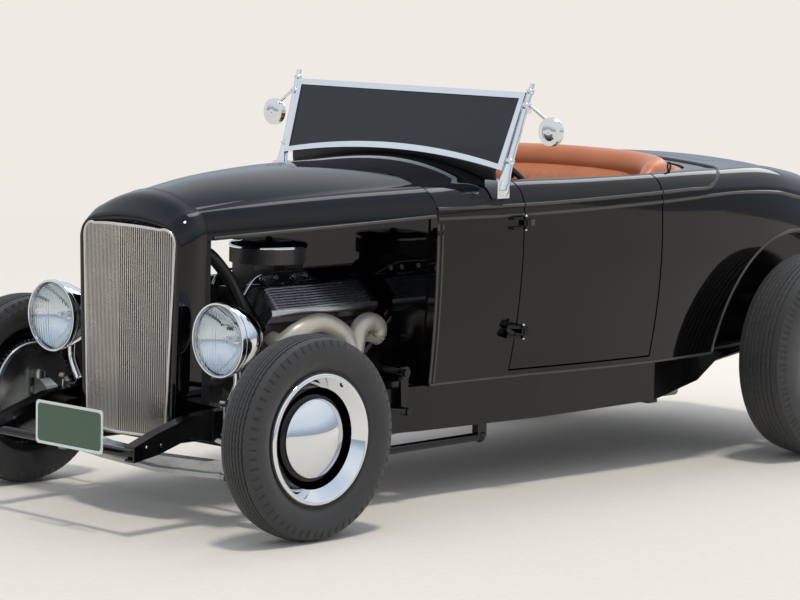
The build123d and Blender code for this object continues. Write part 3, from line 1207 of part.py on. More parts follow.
def mirrors():
    """Round mirrors on arms from the windshield posts."""
    z = 1346.0
    share = (z - POST_FOOT[2]) / (POST_TOP[2] - POST_FOOT[2])
    x = POST_FOOT[0] + (POST_TOP[0] - POST_FOOT[0]) * share + POST_RADIUS + 3 * SEAT_GAP
    s = POST_FOOT[1] + (POST_TOP[1] - POST_FOOT[1]) * share
    boss = rod((x, s, z), (x + 12, s, z), 7)
    arm = rod((x + 6, s, z), (672, 1168, 1290), 5)
    head = rod((681, 1150, 1262), (681, 1172, 1262), 48)
    return both_sides(boss + arm + head)


def seat_cushion():
    """Bench cushion, a simple crowned solid."""
    base = SHAFT_TOP + SEAT_GAP
    return side_prism([(SEAT_FRONT, base), (SEAT_FRONT - 10, 600), (SEAT_FRONT + 30, SEAT_TOP), (1840, 620),
                       (1860, base)], -490, 490)


def seat_back():
    """Bench back, leaning against the bulkhead."""
    base = SHAFT_TOP + SEAT_GAP
    back = side_prism([(1880, base), (1862, 640), (1990, 1080), (2030, 1130), (2100, 1130), (2150, 1080),
                       (BULKHEAD - SEAT_GAP, 1000), (BULKHEAD - SEAT_GAP, base)], -490, 490)
    return back & (cockpit_outline(-8.0) + block(-490, 490, 1800, BULKHEAD, 400, COCKPIT_CUT_Z))


def dashboard():
    """Instrument panel across the cowl's rear edge."""
    panel = block(-700, 700, 1124, 1138, 900, 1100) & body_loft(WALL + SEAT_GAP, open_bottom=OPEN_BOTTOM)
    return panel - column_bar(COLUMN_RADIUS + 6)


def floor_controls():
    """Shift lever and pedals."""
    lever = rod((0, 1240, TUNNEL_TOP + 12), (20, 1290, 820), 7)
    knob = Pos(20, at(1290), 824) * Sphere(22)
    base = rod((0, 1240, TUNNEL_TOP), (0, 1240, TUNNEL_TOP + 20), 40)
    shape = lever + knob + base
    floor_z = RAIL_TOP + FLOOR_THICKNESS
    for x in (180, 380):
        stalk = rod((x, 880, floor_z + 8), (x, 930, 540), 8)
        foot = block(x - 14, x + 14, 864, 896, floor_z, floor_z + 10)
        pad = block(x - 26, x + 26, 922, 940, 540, 600)
        shape = shape + stalk + foot + pad
    return shape


def tail_lamps():
    """Two round lamps on the tail."""
    lamp = rod((300, TAIL + SEAT_GAP, 610), (300, TAIL + 22, 610), 30)
    return both_sides(lamp)


def number_plate():
    """Blank plate on a bracket from the spreader bar."""
    plate = block(PLATE_CENTRE - 165, PLATE_CENTRE + 165, -FRONT_OVERHANG, -FRONT_OVERHANG + 3, 262, 403)
    arm = block(PLATE_CENTRE - 20, PLATE_CENTRE + 20, -FRONT_OVERHANG + 3,
                -408 - HORN_TUBE_RADIUS - SEAT_GAP, 256, 286)
    return plate + arm


def main():
    """Build every node and write it."""
    os.makedirs("parts", exist_ok=True)
    save("frame_rails", rails())
    save("gearbox_crossmember", gearbox_crossmember())
    save("body_tub", body_tub() + both_sides(body_hinges()))
    save("door_left", door(1))
    save("door_right", door(-1))
    save("deck_lid", deck_lid())
    save("floor_pan", floor())
    save("firewall", firewall())
    save("hood_top", hood())
    save("grille_shell", grille_shell())
    save("grille_insert", grille_insert())
    for name, build in [
            ("front_axle", front_axle), ("front_spring", front_spring), ("wishbones", wishbones),
            ("tie_rod", tie_rod), ("drag_link", drag_link), ("pitman_arm", pitman_arm),
            ("steering_column", steering_column), ("steering_wheel", steering_wheel),
            ("engine_block", engine_block), ("valve_covers", valve_covers), ("exhaust", exhaust),
            ("carburettors", carburettors), ("engine_front", engine_front), ("radiator", radiator),
            ("headlamps", headlamps), ("headlamp_lenses", headlamp_lenses), ("front_shocks", front_shocks),
            ("rear_axle", rear_axle), ("rear_links", rear_links), ("fuel_tank", fuel_tank),
            ("windshield_frame", windshield_frame), ("windshield_glass", windshield_glass),
            ("mirrors", mirrors), ("seat_cushion", seat_cushion), ("seat_back", seat_back),
            ("dashboard", dashboard), ("floor_controls", floor_controls), ("tail_lamps", tail_lamps),
            ("number_plate", number_plate)]:
        save(name, build())
    save("knuckle_left", knuckle(1))
    save("knuckle_right", knuckle(-1))
    # columns: name, side, tyre radius, width, tread, rim, drum radius, drum width, fins, s
    for name, side, radius, width, tread, rim, drum_r, drum_w, fins, s in [
            ("front_left", 1, FRONT_TYRE_RADIUS, FRONT_TYRE_WIDTH, FRONT_TREAD_WIDTH, FRONT_RIM_WIDTH,
             FRONT_DRUM_RADIUS, FRONT_DRUM_WIDTH, True, 0.0),
            ("front_right", -1, FRONT_TYRE_RADIUS, FRONT_TYRE_WIDTH, FRONT_TREAD_WIDTH, FRONT_RIM_WIDTH,
             FRONT_DRUM_RADIUS, FRONT_DRUM_WIDTH, True, 0.0),
            ("rear_left", 1, REAR_TYRE_RADIUS, REAR_TYRE_WIDTH, REAR_TREAD_WIDTH, REAR_RIM_WIDTH,
             REAR_DRUM_RADIUS, REAR_DRUM_WIDTH, False, WHEELBASE),
            ("rear_right", -1, REAR_TYRE_RADIUS, REAR_TYRE_WIDTH, REAR_TREAD_WIDTH, REAR_RIM_WIDTH,
             REAR_DRUM_RADIUS, REAR_DRUM_WIDTH, False, WHEELBASE)]:
        save(f"tyre_{name}", tyre(radius, width, tread, rim, side * WHEEL_X, s))
        save(f"wheel_{name}", wheel(side, rim, drum_r, drum_w, fins, s, radius))
        save(f"wheel_trim_{name}", wheel_trim(side, rim, s, radius))


main()
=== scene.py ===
"""Finishes, soft goods and fine detail of an open hot rod roadster, built round its fixed frame.

All lengths are metres. +X is the car's left, the front faces -Y and +Z is up. A station is the
distance of a cross section behind the front axle.
"""
import json
import logging
import math
from dataclasses import dataclass
from enum import Enum
from typing import Sequence

import bmesh
import bpy
import numpy as np
from mathutils import Matrix, Vector


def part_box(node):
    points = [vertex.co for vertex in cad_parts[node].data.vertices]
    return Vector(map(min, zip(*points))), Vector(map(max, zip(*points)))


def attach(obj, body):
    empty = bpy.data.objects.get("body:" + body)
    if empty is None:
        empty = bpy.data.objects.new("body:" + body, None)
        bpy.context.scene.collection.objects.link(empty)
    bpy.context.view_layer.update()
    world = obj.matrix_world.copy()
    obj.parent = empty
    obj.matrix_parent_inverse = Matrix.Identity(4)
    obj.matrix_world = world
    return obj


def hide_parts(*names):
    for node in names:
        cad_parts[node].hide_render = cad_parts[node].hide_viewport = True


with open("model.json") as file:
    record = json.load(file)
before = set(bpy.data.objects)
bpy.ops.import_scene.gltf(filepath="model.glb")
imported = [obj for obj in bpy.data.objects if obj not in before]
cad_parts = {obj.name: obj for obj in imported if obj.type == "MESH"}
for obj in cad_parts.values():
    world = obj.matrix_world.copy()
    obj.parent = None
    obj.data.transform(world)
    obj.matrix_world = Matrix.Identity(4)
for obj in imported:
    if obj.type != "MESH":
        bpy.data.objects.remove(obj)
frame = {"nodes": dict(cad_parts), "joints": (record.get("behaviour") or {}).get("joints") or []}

LOG = logging.getLogger("roadster")
JOINTS = {joint["name"]: joint for joint in frame["joints"]}
AXLE_Y = JOINTS["steer_left"]["pos_m"][1]
TAU = 2 * math.pi
MIRROR = np.array([-1.0, 1.0, 1.0])
SIDES = (("left", 1.0), ("right", -1.0))
ACROSS, AFT, UP = (1.0, 0.0, 0.0), (0.0, 1.0, 0.0), (0.0, 0.0, 1.0)
WELD, SLIVER, TINY = 1e-5, 1e-7, 1e-9    # distances below which points and edges count as one
NEAR = 1e-4                              # stations closer than this are the same
BEVEL_STEPS, BEVEL_ANGLE = 3, math.radians(40)
ROUGH_FROM, ROUGH_TO = 0.3, 0.7          # part of the broad noise's range that sets the roughness
BUMP_STRENGTH, COAT_ROUGHNESS = 0.6, 0.02
CREASE_NOISE, LUMP_SCALE = 0.1, 0.7      # fine noise on creased cells, and the width of sand lumps


def at(station: float | np.ndarray) -> float | np.ndarray:
    """Give the Y of a station behind the front axle."""
    return AXLE_Y + station


def linear(code: str) -> tuple[float, float, float, float]:
    """Turn an sRGB hex colour into linear values.

    Args:
        code: six hex digits.

    Returns:
        Red, green, blue and alpha for a shader's socket.
    """
    parts = [int(code[i:i + 2], 16) / 255 for i in (0, 2, 4)]
    values = [p / 12.92 if p <= 0.04045 else ((p + 0.055) / 1.055) ** 2.4 for p in parts]
    return (*values, 1.0)


def add_node(tree: bpy.types.NodeTree, kind: str, inputs: dict | None = None,
             **settings: object) -> bpy.types.Node:
    """Add one node with its settings, its values and its links.

    Args:
        tree: node tree that takes the node.
        kind: Blender's name of the node's type.
        inputs: a value, or another node's socket to link from, for each named or numbered input.
        settings: attributes of the node.

    Returns:
        The new node.
    """
    node = tree.nodes.new(kind)
    for key, value in settings.items():
        setattr(node, key, value)
    for key, value in (inputs or {}).items():
        if isinstance(value, bpy.types.NodeSocket):
            tree.links.new(value, node.inputs[key])
        else:
            node.inputs[key].default_value = value
    return node


class Texture(Enum):
    """Kinds of fine surface that a finish can have."""

    PEEL = "the faint ripple of sprayed and polished paint"
    CAST = "the grain that a sand mould leaves"
    BRUSHED = "fine parallel scratches"
    SMEAR = "faint smears on polished metal"
    HIDE = "creased cells of leather"
    RUBBER = "fine pits of moulded rubber"
    PILE = "short upright yarn"


@dataclass(frozen=True)
class Finish:
    """One real material with the surface that its making leaves."""

    name: str
    slot: str
    colour: str
    second: str
    roughness: tuple[float, float]
    texture: Texture
    grain: float
    depth: float
    metallic: float = 0.0
    coat: float = 0.0
    ior: float = 1.5
    stretch: tuple[float, float, float] = (1.0, 1.0, 1.0)
    sheen: float = 0.0
    clear: float = 0.0
    patch: float = 0.12

    def height(self, tree: bpy.types.NodeTree, place: bpy.types.NodeSocket) -> bpy.types.NodeSocket:
        """Build the nodes of the fine surface.

        Args:
            tree: the material's node tree.
            place: socket that gives the point on the piece.

        Returns:
            Socket with the surface's height from 0 to 1.
        """
        scale = 1 / self.grain
        fine = add_node(tree, "ShaderNodeTexNoise", {"Vector": place, "Scale": scale, "Detail": 4.0})
        if self.texture is Texture.HIDE:
            cells = add_node(tree, "ShaderNodeTexVoronoi", {"Vector": place, "Scale": scale},
                             feature="SMOOTH_F1")
            both = add_node(tree, "ShaderNodeMath", {0: cells.outputs["Distance"], 1: fine.outputs[0]},
                            operation="MULTIPLY_ADD")
            both.inputs[2].default_value = CREASE_NOISE
            return both.outputs[0]
        if self.texture is Texture.CAST:
            lumps = add_node(tree, "ShaderNodeTexVoronoi", {"Vector": place, "Scale": scale * LUMP_SCALE})
            both = add_node(tree, "ShaderNodeMath", {0: lumps.outputs["Distance"], 1: fine.outputs[0]},
                            operation="ADD")
            return both.outputs[0]
        return fine.outputs[0]

    def build(self) -> bpy.types.Material:
        """Make the material, or give the one that was made before.

        Returns:
            The finished material.
        """
        known = bpy.data.materials.get(self.name)
        if known is not None:
            return known
        material = bpy.data.materials.new(self.name)
        material.use_nodes = True
        tree = material.node_tree
        tree.nodes.clear()
        place = add_node(tree, "ShaderNodeTexCoord").outputs["Object"]
        turned = add_node(tree, "ShaderNodeMapping", {"Vector": place, "Scale": self.stretch})
        height = self.height(tree, turned.outputs[0])
        broad = add_node(tree, "ShaderNodeTexNoise", {
            "Vector": place, "Scale": 1 / self.patch, "Detail": 3.0})
        tint = add_node(tree, "ShaderNodeMix", {
            0: broad.outputs[0], 6: linear(self.colour), 7: linear(self.second)}, data_type="RGBA")
        low, high = self.roughness
        rough = add_node(tree, "ShaderNodeMapRange", {
            "Value": broad.outputs[0], "From Min": ROUGH_FROM, "From Max": ROUGH_TO, "To Min": low,
            "To Max": high})
        bump = add_node(tree, "ShaderNodeBump", {
            "Height": height, "Strength": BUMP_STRENGTH, "Distance": self.depth})
        shader = add_node(tree, "ShaderNodeBsdfPrincipled", {
            "Base Color": tint.outputs[2], "Roughness": rough.outputs[0], "Normal": bump.outputs[0],
            "Metallic": self.metallic, "Coat Weight": self.coat, "Coat Roughness": COAT_ROUGHNESS,
            "IOR": self.ior, "Sheen Weight": self.sheen, "Transmission Weight": self.clear})
        add_node(tree, "ShaderNodeOutputMaterial", {"Surface": shader.outputs[0]})
        return material


# Two-pack gloss paint, sprayed and polished to a wet shine
BLACK_PAINT = Finish("gloss_black_enamel", "black_paint", "040405", "08080A", (0.02, 0.06), Texture.PEEL,
                     0.012, 0.00002, ior=1.42)
# The same enamel over the raised beads, coloured grey as a painted highlight along their rounded tops
BEAD_HIGHLIGHT_PAINT = Finish("rubbed_black_enamel", "black_paint", "4B4743", "37342F", (0.10, 0.20),
                    Texture.PEEL, 0.012, 0.00002)
# Chassis enamel, brushed on smooth and a little duller than the body
FRAME_PAINT = Finish("satin_black_chassis_enamel", "frame_black", "080809", "0D0D0E", (0.09, 0.20),
                     Texture.PEEL, 0.006, 0.00004, ior=1.42)
# Plated and polished forged steel, greyer than chrome
AXLE_STEEL = Finish("polished_forged_steel", "axle_grey", "B9BBBA", "8F9291", (0.16, 0.34), Texture.SMEAR,
                    0.004, 0.00005, metallic=1.0)
# Cast iron block in dark engine enamel, with sand grain under it
ENGINE_ENAMEL = Finish("engine_enamel_on_cast_iron", "engine_paint", "101113", "1B1C1F", (0.25, 0.45),
                       Texture.CAST, 0.003, 0.0003, coat=0.3)
# Sand cast aluminium, buffed on its high places
CAST_ALUMINIUM = Finish("buffed_cast_aluminium", "polished_aluminium", "D5D6D6", "A7A9AB",
                        (0.14, 0.32), Texture.CAST, 0.0025, 0.00012, metallic=1.0)
# Ceramic coated iron headers: pale, warm, and soft in gloss
CERAMIC_COAT = Finish("ceramic_coated_iron", "coated_iron", "DDD8CC", "BDB7AA", (0.30, 0.46), Texture.CAST,
                      0.003, 0.0002, metallic=0.45)
# Die cast zinc alloy of carburettor bodies, gone dull and oily
ZINC_ALLOY = Finish("aged_zinc_alloy", "polished_aluminium", "6B6965", "454442", (0.3, 0.5), Texture.CAST,
                    0.0025, 0.00015, metallic=0.85)
# Chromium plate on polished steel: mirror bright with the faintest smears
CHROME = Finish("chromium_plate", "chrome", "E6E8EA", "DADDE0", (0.02, 0.07), Texture.SMEAR,
                0.02, 0.00001, metallic=1.0)
# Polished stainless strip, brushed lengthways
STAINLESS = Finish("brushed_stainless_strip", "stainless", "E2DFD9", "CBC7C0", (0.24, 0.38), Texture.BRUSHED,
                   0.0012, 0.00004, metallic=1.0, stretch=(1.0, 1.0, 0.02))
# Clear pressed lamp glass
LAMP_GLASS = Finish("pressed_lamp_glass", "lens_glass", "F4F8FA", "EEF4F6", (0.0, 0.03), Texture.SMEAR,
                    0.03, 0.00002, clear=1.0, ior=1.45)
# Laminated glass with a smoke tint, deepened to nearly black as a painted dark reflection
SMOKE_GLASS_AND_PAINTED_REFLECTION = Finish("smoke_tinted_laminated_glass", "lens_glass", "10151C", "12181F", (0.0, 0.02),
                     Texture.SMEAR, 0.05, 0.000005, clear=1.0, ior=1.5)
# Aniline dyed cowhide, saddle tan going orange in the light
LEATHER = Finish("saddle_tan_cowhide", "tan_leather", "D38152", "BE6A3D", (0.30, 0.44), Texture.HIDE,
                 0.0028, 0.0003, sheen=0.1, patch=0.2)
# Bakelite and rubber of rims, knobs and pads
BLACK_RUBBER = Finish("moulded_black_rubber", "black_plastic", "121213", "1B1B1C", (0.3, 0.5), Texture.RUBBER,
                      0.002, 0.00008)
# Ruby lamp plastic
RUBY = Finish("ruby_lamp_plastic", "red_plastic", "8E0A0C", "6E0608", (0.05, 0.1), Texture.PEEL,
              0.008, 0.00002, coat=0.8)
# Carbon black tyre rubber, dusted grey where it has run
TYRE_RUBBER = Finish("carbon_black_tyre_rubber", "tyre_rubber", "2A2A2B", "353534", (0.5, 0.7),
                     Texture.RUBBER, 0.0022, 0.0002, sheen=0.1, patch=0.05)
# Green enamelled sheet and its cream rim
PLATE_GREEN = Finish("green_stove_enamel", "plate_paint", "0B4A2C", "0A4227", (0.12, 0.2),
                     Texture.PEEL, 0.01, 0.00004, coat=0.7)
PLATE_CREAM = Finish("cream_stove_enamel", "plate_paint", "DDE8E2", "CFDBD4", (0.15, 0.25),
                     Texture.PEEL, 0.01, 0.00004, coat=0.6)
# Cut pile carpet on the floor
CARPET = Finish("black_cut_pile_carpet", "frame_black", "17130F", "241D18", (0.85, 1.0), Texture.PILE,
                0.0035, 0.0012, sheen=0.4)
# Tinned radiator core seen through the bars
CORE = Finish("tinned_radiator_core", "frame_black", "0A0A0B", "141416", (0.5, 0.7), Texture.BRUSHED,
              0.002, 0.0008, stretch=(1.0, 1.0, 0.2))
# Printed instrument dial
DIAL = Finish("ivory_dial_enamel", "black_plastic", "D9D2BE", "CCC4AE", (0.25, 0.4), Texture.PEEL,
              0.01, 0.00002)


def grid_faces(rows: int, columns: int, wrap_rows: bool = False, wrap_columns: bool = False) -> np.ndarray:
    """Index the four corners of every cell of a grid of points.

    Args:
        rows: count of points along the first direction.
        columns: count of points along the second direction.
        wrap_rows: join the last row to the first.
        wrap_columns: join the last column to the first.

    Returns:
        Array of cells by four indices.
    """
    i, j = np.meshgrid(np.arange(rows if wrap_rows else rows - 1),
                       np.arange(columns if wrap_columns else columns - 1), indexing="ij")
    below, beside = (i + 1) % rows, (j + 1) % columns
    return np.stack([i * columns + j, i * columns + beside, below * columns + beside, below * columns + j],
                    axis=-1).reshape(-1, 4)


def arc(a: np.ndarray, b: np.ndarray, c: np.ndarray, w: np.ndarray) -> np.ndarray:
    """Points on the circle through three points.

    The centre is where the perpendicular bisectors meet, and w turns the radius evenly from a to c.

    Args:
        a: first points, last axis of two.
        b: points passed on the way.
        c: last points.
        w: share of the way, broadcast against the points.

    Returns:
        Points with a last axis of two.
    """
    ax, ay, bx, by, cx, cy = a[..., 0], a[..., 1], b[..., 0], b[..., 1], c[..., 0], c[..., 1]
    twice = 2 * (ax * (by - cy) + bx * (cy - ay) + cx * (ay - by))
    qa, qb, qc = ax ** 2 + ay ** 2, bx ** 2 + by ** 2, cx ** 2 + cy ** 2
    ox = (qa * (by - cy) + qb * (cy - ay) + qc * (ay - by)) / twice
    oy = (qa * (cx - bx) + qb * (ax - cx) + qc * (bx - ax)) / twice
    radius = np.hypot(ax - ox, ay - oy)
    start = np.arctan2(ay - oy, ax - ox)
    sweep = (np.arctan2(cy - oy, cx - ox) - start + math.pi) % TAU - math.pi
    angle = start + sweep * w
    return np.stack([ox + radius * np.cos(angle), oy + radius * np.sin(angle)], axis=-1)


def arc_points(a: Sequence[float], b: Sequence[float], c: Sequence[float], count: int) -> np.ndarray:
    """Evenly spaced points on the arc through three points, ends included."""
    return arc(np.array(a, float), np.array(b, float), np.array(c, float), np.linspace(0, 1, count))


def normals_of(points: np.ndarray) -> np.ndarray:
    """Unit normals of a grid of points, from the cross product of its two directions.

    Args:
        points: rows by columns by three.

    Returns:
        One normal for each point.
    """
    normal = np.cross(np.gradient(points, axis=1), np.gradient(points, axis=0))
    return normal / np.maximum(np.linalg.norm(normal, axis=-1, keepdims=True), 1e-12)


def layers(rows: Sequence[tuple[np.ndarray, float]]) -> np.ndarray:
    """Stack flat outlines at their heights into one grid of points."""
    return np.stack([np.column_stack([xy, np.full(len(xy), z)]) for xy, z in rows])


class Piece:
    """A mesh being put together from grids of points, then finished as one object."""

    def __init__(self, name: str) -> None:
        """Start an empty piece of that name."""
        self.name = name
        self.points: list[np.ndarray] = []
        self.faces: list[np.ndarray] = []
        self.count = 0

    def grid(self, points: np.ndarray, wrap_rows: bool = False, wrap_columns: bool = False,
             flip: bool = False) -> "Piece":
        """Add a grid of points as faces.

        Args:
            points: rows by columns by three.
            wrap_rows: close the grid over its rows.
            wrap_columns: close the grid over its columns.
            flip: turn the faces round.

        Returns:
            This piece.
        """
        rows, columns = points.shape[:2]
        faces = grid_faces(rows, columns, wrap_rows, wrap_columns)
        self.faces.append((faces[:, ::-1] if flip else faces) + self.count)
        self.points.append(points.reshape(-1, 3))
        self.count += rows * columns
        return self

    def mirrored(self, points: np.ndarray, flip: bool = False) -> "Piece":
        """Add a grid on the left and its mirror image on the right."""
        self.grid(points, flip=flip)
        return self.grid(points * MIRROR, flip=not flip)

    def build(self, finish: Finish, body: str = "root", smooth: float = 35.0, closed: bool = True,
              replaces: Sequence[str] = (), bevel: float = 0.0, solid: float = 0.0) -> bpy.types.Object:
        """Make the object, dress it and let it ride on a body of the frame.

        Args:
            finish: material of the whole piece.
            body: body of the frame that carries it.
            smooth: edges sharper than this many degrees stay sharp.
            closed: the faces close a volume, so their directions are worked out again.
            replaces: nodes that this piece stands for.
            bevel: radius of rounded edges.
            solid: thickness that an open sheet gets on its inner side.

        Returns:
            The new object.
        """
        mesh = bpy.data.meshes.new(self.name)
        mesh.from_pydata(np.concatenate(self.points), [], np.concatenate(self.faces).tolist())
        shape = bmesh.new()
        shape.from_mesh(mesh)
        bmesh.ops.remove_doubles(shape, verts=shape.verts, dist=WELD)
        bmesh.ops.dissolve_degenerate(shape, edges=shape.edges, dist=SLIVER)
        if closed:
            bmesh.ops.recalc_face_normals(shape, faces=shape.faces)
        shape.to_mesh(mesh)
        shape.free()
        mesh.polygons.foreach_set("use_smooth", np.ones(len(mesh.polygons), bool))
        mesh.set_sharp_from_angle(angle=math.radians(smooth))
        mesh.update()
        piece = bpy.data.objects.new(self.name, mesh)
        bpy.context.scene.collection.objects.link(piece)
        if solid:
            wall = piece.modifiers.new("wall", "SOLIDIFY")
            wall.thickness, wall.offset, wall.use_even_offset = solid, -1.0, False
        if bevel:
            edge = piece.modifiers.new("edge", "BEVEL")
            edge.width, edge.segments, edge.limit_method = bevel, BEVEL_STEPS, "ANGLE"
            edge.angle_limit, edge.harden_normals = BEVEL_ANGLE, True
        mesh.materials.append(finish.build())
        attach(piece, body)
        if replaces:
            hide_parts(*replaces)
        LOG.info("%s rides on %s", self.name, body)
        return piece

    def turned(self, profile: np.ndarray, centre: Sequence[float], axis: Sequence[float], steps: int = 64,
               wrap: bool = False) -> "Piece":
        """Add a turned form: every profile point goes round the axis on a circle.

        Args:
            profile: points as (distance along the axis, radius).
            centre: place of the profile's zero.
            axis: direction of the axis.
            steps: points round the circle.
            wrap: the profile is a closed loop.

        Returns:
            This piece.
        """
        z = np.array(axis, float) / np.linalg.norm(axis)
        x = np.cross(z, UP if abs(z[2]) < 0.9 else ACROSS)
        x /= np.linalg.norm(x)
        y = np.cross(z, x)
        turn = np.arange(steps) * TAU / steps
        ring = np.cos(turn)[:, None] * x + np.sin(turn)[:, None] * y
        profile = np.asarray(profile, float)
        points = np.array(centre, float) + profile[:, None, 0:1] * z + profile[:, None, 1:2] * ring
        return self.grid(points, wrap_rows=wrap, wrap_columns=True)

    def tube(self, path: Sequence[Sequence[float]], radius: float | Sequence[float], sides: int = 12,
             smooth: int = 0, flat: float = 1.0, up: Sequence[float] = UP) -> "Piece":
        """Add a bar along a path: a circle is carried square to the path's direction.

        Args:
            path: points of the middle line.
            radius: one radius, or one for each point.
            sides: points round the bar.
            smooth: points added on each span by a cubic through the given ones.
            flat: share that the bar keeps of its size along the up direction.
            up: direction that fixes the bar's turn.

        Returns:
            This piece.
        """
        line = np.array(path, float)
        radii = np.broadcast_to(np.array(radius, float), (len(line),))
        if smooth:
            knots = np.arange(len(line))
            fine = np.linspace(0, len(line) - 1, (len(line) - 1) * (smooth + 1) + 1)
            line = cubic(knots, line, fine)
            radii = np.interp(fine, knots, radii)
        tangent = np.gradient(line, axis=0)
        tangent /= np.linalg.norm(tangent, axis=1, keepdims=True)
        side = np.cross(tangent, np.array(up, float))
        side /= np.maximum(np.linalg.norm(side, axis=1, keepdims=True), TINY)
        rise = np.cross(side, tangent)
        turn = np.arange(sides) * TAU / sides
        ring = (np.cos(turn)[None, :, None] * side[:, None]
                + flat * np.sin(turn)[None, :, None] * rise[:, None])
        points = line[:, None] + radii[:, None, None] * ring
        ends = [np.broadcast_to(line[k], (1, sides, 3)) for k in (0, -1)]
        return self.grid(np.concatenate([ends[0], points, ends[1]]), wrap_columns=True)

    def prism(self, outline: np.ndarray, low: float, high: float, turn: Matrix | None = None) -> "Piece":
        """Add a flat plate: an outline is carried straight up and closed towards its middle.

        Args:
            outline: closed loop of (x, y) points.
            low: height of the lower face.
            high: height of the upper face.
            turn: placing of the plate, from its own axes to the car's.

        Returns:
            This piece.
        """
        flat = np.asarray(outline, float)
        middle = np.broadcast_to(flat.mean(0), flat.shape)
        points = layers([(middle, low), (flat, low), (flat, high), (middle, high)])
        if turn is not None:
            points = points @ np.array(turn.to_3x3()).T + np.array(turn.translation)
        return self.grid(points, wrap_columns=True)


def cubic(knots: np.ndarray, values: np.ndarray, where: np.ndarray) -> np.ndarray:
    """Smooth curve through values: a cubic on each span whose slopes are those of the neighbours.

    Args:
        knots: rising places of the values.
        values: one row for each knot.
        where: places to read.

    Returns:
        One row for each place.
    """
    knots, values, where = np.asarray(knots, float), np.asarray(values, float), np.asarray(where, float)
    slope = np.gradient(values, knots, axis=0)
    i = np.clip(np.searchsorted(knots, where) - 1, 0, len(knots) - 2)
    h = (knots[i + 1] - knots[i])[..., None]
    t = (where - knots[i])[..., None] / h
    return ((2 * t ** 3 - 3 * t ** 2 + 1) * values[i] + (t ** 3 - 2 * t ** 2 + t) * h * slope[i]
            + (3 * t ** 2 - 2 * t ** 3) * values[i + 1] + (t ** 3 - t ** 2) * h * slope[i + 1])


def curve(knots: Sequence[float], values: Sequence[float], where: np.ndarray) -> np.ndarray:
    """Smooth curve through single values."""
    return cubic(knots, np.asarray(values, float)[:, None], where)[..., 0]


@dataclass(frozen=True)
class CrownedForm:
    """Outer surface of the body: half sections of three arcs, blended smoothly along the car.

    Each row of the table has the station, then x and z of the lower edge, the side's middle, the belt
    and the shoulder, and last the crown's height.
    """

    table: tuple[tuple[float, ...], ...]

    def columns(self, s: np.ndarray) -> np.ndarray:
        """Read the smoothed section values at stations."""
        rows = np.array(self.table)
        return cubic(rows[:, 0], rows[:, 1:], np.asarray(s, float))

    def points(self, s: np.ndarray, v: np.ndarray) -> np.ndarray:
        """Give points of the left half.

        v runs from 0 at the lower edge to 1 at the belt, 2 at the shoulder and 3 at the crown. The side
        keeps even steps of height, and the two upper arcs keep even steps of angle.

        Args:
            s: stations.
            v: place on the section, of the same shape.

        Returns:
            Points with a last axis of three.
        """
        s, v = np.broadcast_arrays(np.asarray(s, float), np.asarray(v, float))
        xb, zb, xm, zm, xs, zs, xt, zt, zc = np.moveaxis(self.columns(s), -1, 0)
        z_side = zb + (zs - zb) * np.clip(v, 0, 1)
        low, mid, belt = (np.stack(p, -1) for p in ((xb, zb), (xm, zm), (xs, zs)))
        shoulder = np.stack([xt, zt], -1)
        turn = np.stack([xs * 0.70 + xt * 0.30 - 0.002, zs * 0.34 + zt * 0.66 + 0.002], -1)
        crown, far = np.stack([0 * xt, zc], -1), np.stack([-xt, zt], -1)
        share = (z_side - zb) / (zs - zb)
        side = arc(low, mid, belt, share)
        side[..., 1] = z_side
        upper = arc(belt, turn, shoulder, np.clip(v - 1, 0, 1))
        top = arc(shoulder, crown, far, np.clip(v - 2, 0, 1) / 2)
        xz = np.where((v <= 1)[..., None], side, np.where((v <= 2)[..., None], upper, top))
        return np.stack([xz[..., 0], at(s), xz[..., 1]], -1)

    def v_at_z(self, s: np.ndarray, z: np.ndarray) -> np.ndarray:
        """Place on the side that has a given height."""
        rows = self.columns(s)
        return (z - rows[..., 1]) / (rows[..., 5] - rows[..., 1])

    def v_at_x(self, s: np.ndarray, x: np.ndarray) -> np.ndarray:
        """Place above the belt that has a given half width, found on a fine scale of v.

        Args:
            s: stations.
            x: half width wanted at each.

        Returns:
            v of each station.
        """
        scale = np.linspace(1, 3, 401)
        fine = self.points(np.asarray(s)[:, None], scale[None, :])[..., 0]
        return np.array([np.interp(-want, -row, scale) for want, row in zip(x, fine)])


BODY = CrownedForm((
    (0.796, 0.476, 0.395, 0.499, 0.690, 0.504, 0.985, 0.400, 1.076, 1.137),
    (1.176, 0.492, 0.395, 0.543, 0.690, 0.553, 1.000, 0.462, 1.086, 1.150),
    (1.500, 0.528, 0.395, 0.575, 0.690, 0.580, 1.006, 0.500, 1.084, 1.128),
    (1.876, 0.551, 0.395, 0.597, 0.690, 0.596, 1.014, 0.520, 1.086, 1.112),
    (2.260, 0.556, 0.402, 0.598, 0.690, 0.592, 1.020, 0.506, 1.088, 1.114),
    (2.700, 0.540, 0.420, 0.578, 0.690, 0.560, 0.990, 0.440, 1.072, 1.098),
    (3.020, 0.500, 0.470, 0.528, 0.680, 0.500, 0.900, 0.372, 0.990, 1.018),
    (3.220, 0.446, 0.500, 0.462, 0.640, 0.432, 0.770, 0.312, 0.850, 0.882),
    (3.304, 0.396, 0.520, 0.402, 0.600, 0.366, 0.672, 0.262, 0.716, 0.738),
))
HOOD_LIP = 0.014
HOOD = CrownedForm(tuple(
    (s, x, z - HOOD_LIP, x + 1e-5, z - HOOD_LIP / 2, x, z, x_turn, z_turn, crown)
    for s, x, z, x_turn, z_turn, crown in (
        (-0.024, 0.250, 0.930, 0.200, 1.012, 1.068), (0.180, 0.318, 0.944, 0.254, 1.036, 1.102),
        (0.480, 0.410, 0.963, 0.326, 1.060, 1.128), (0.796, 0.504, 0.985, 0.400, 1.076, 1.137))))


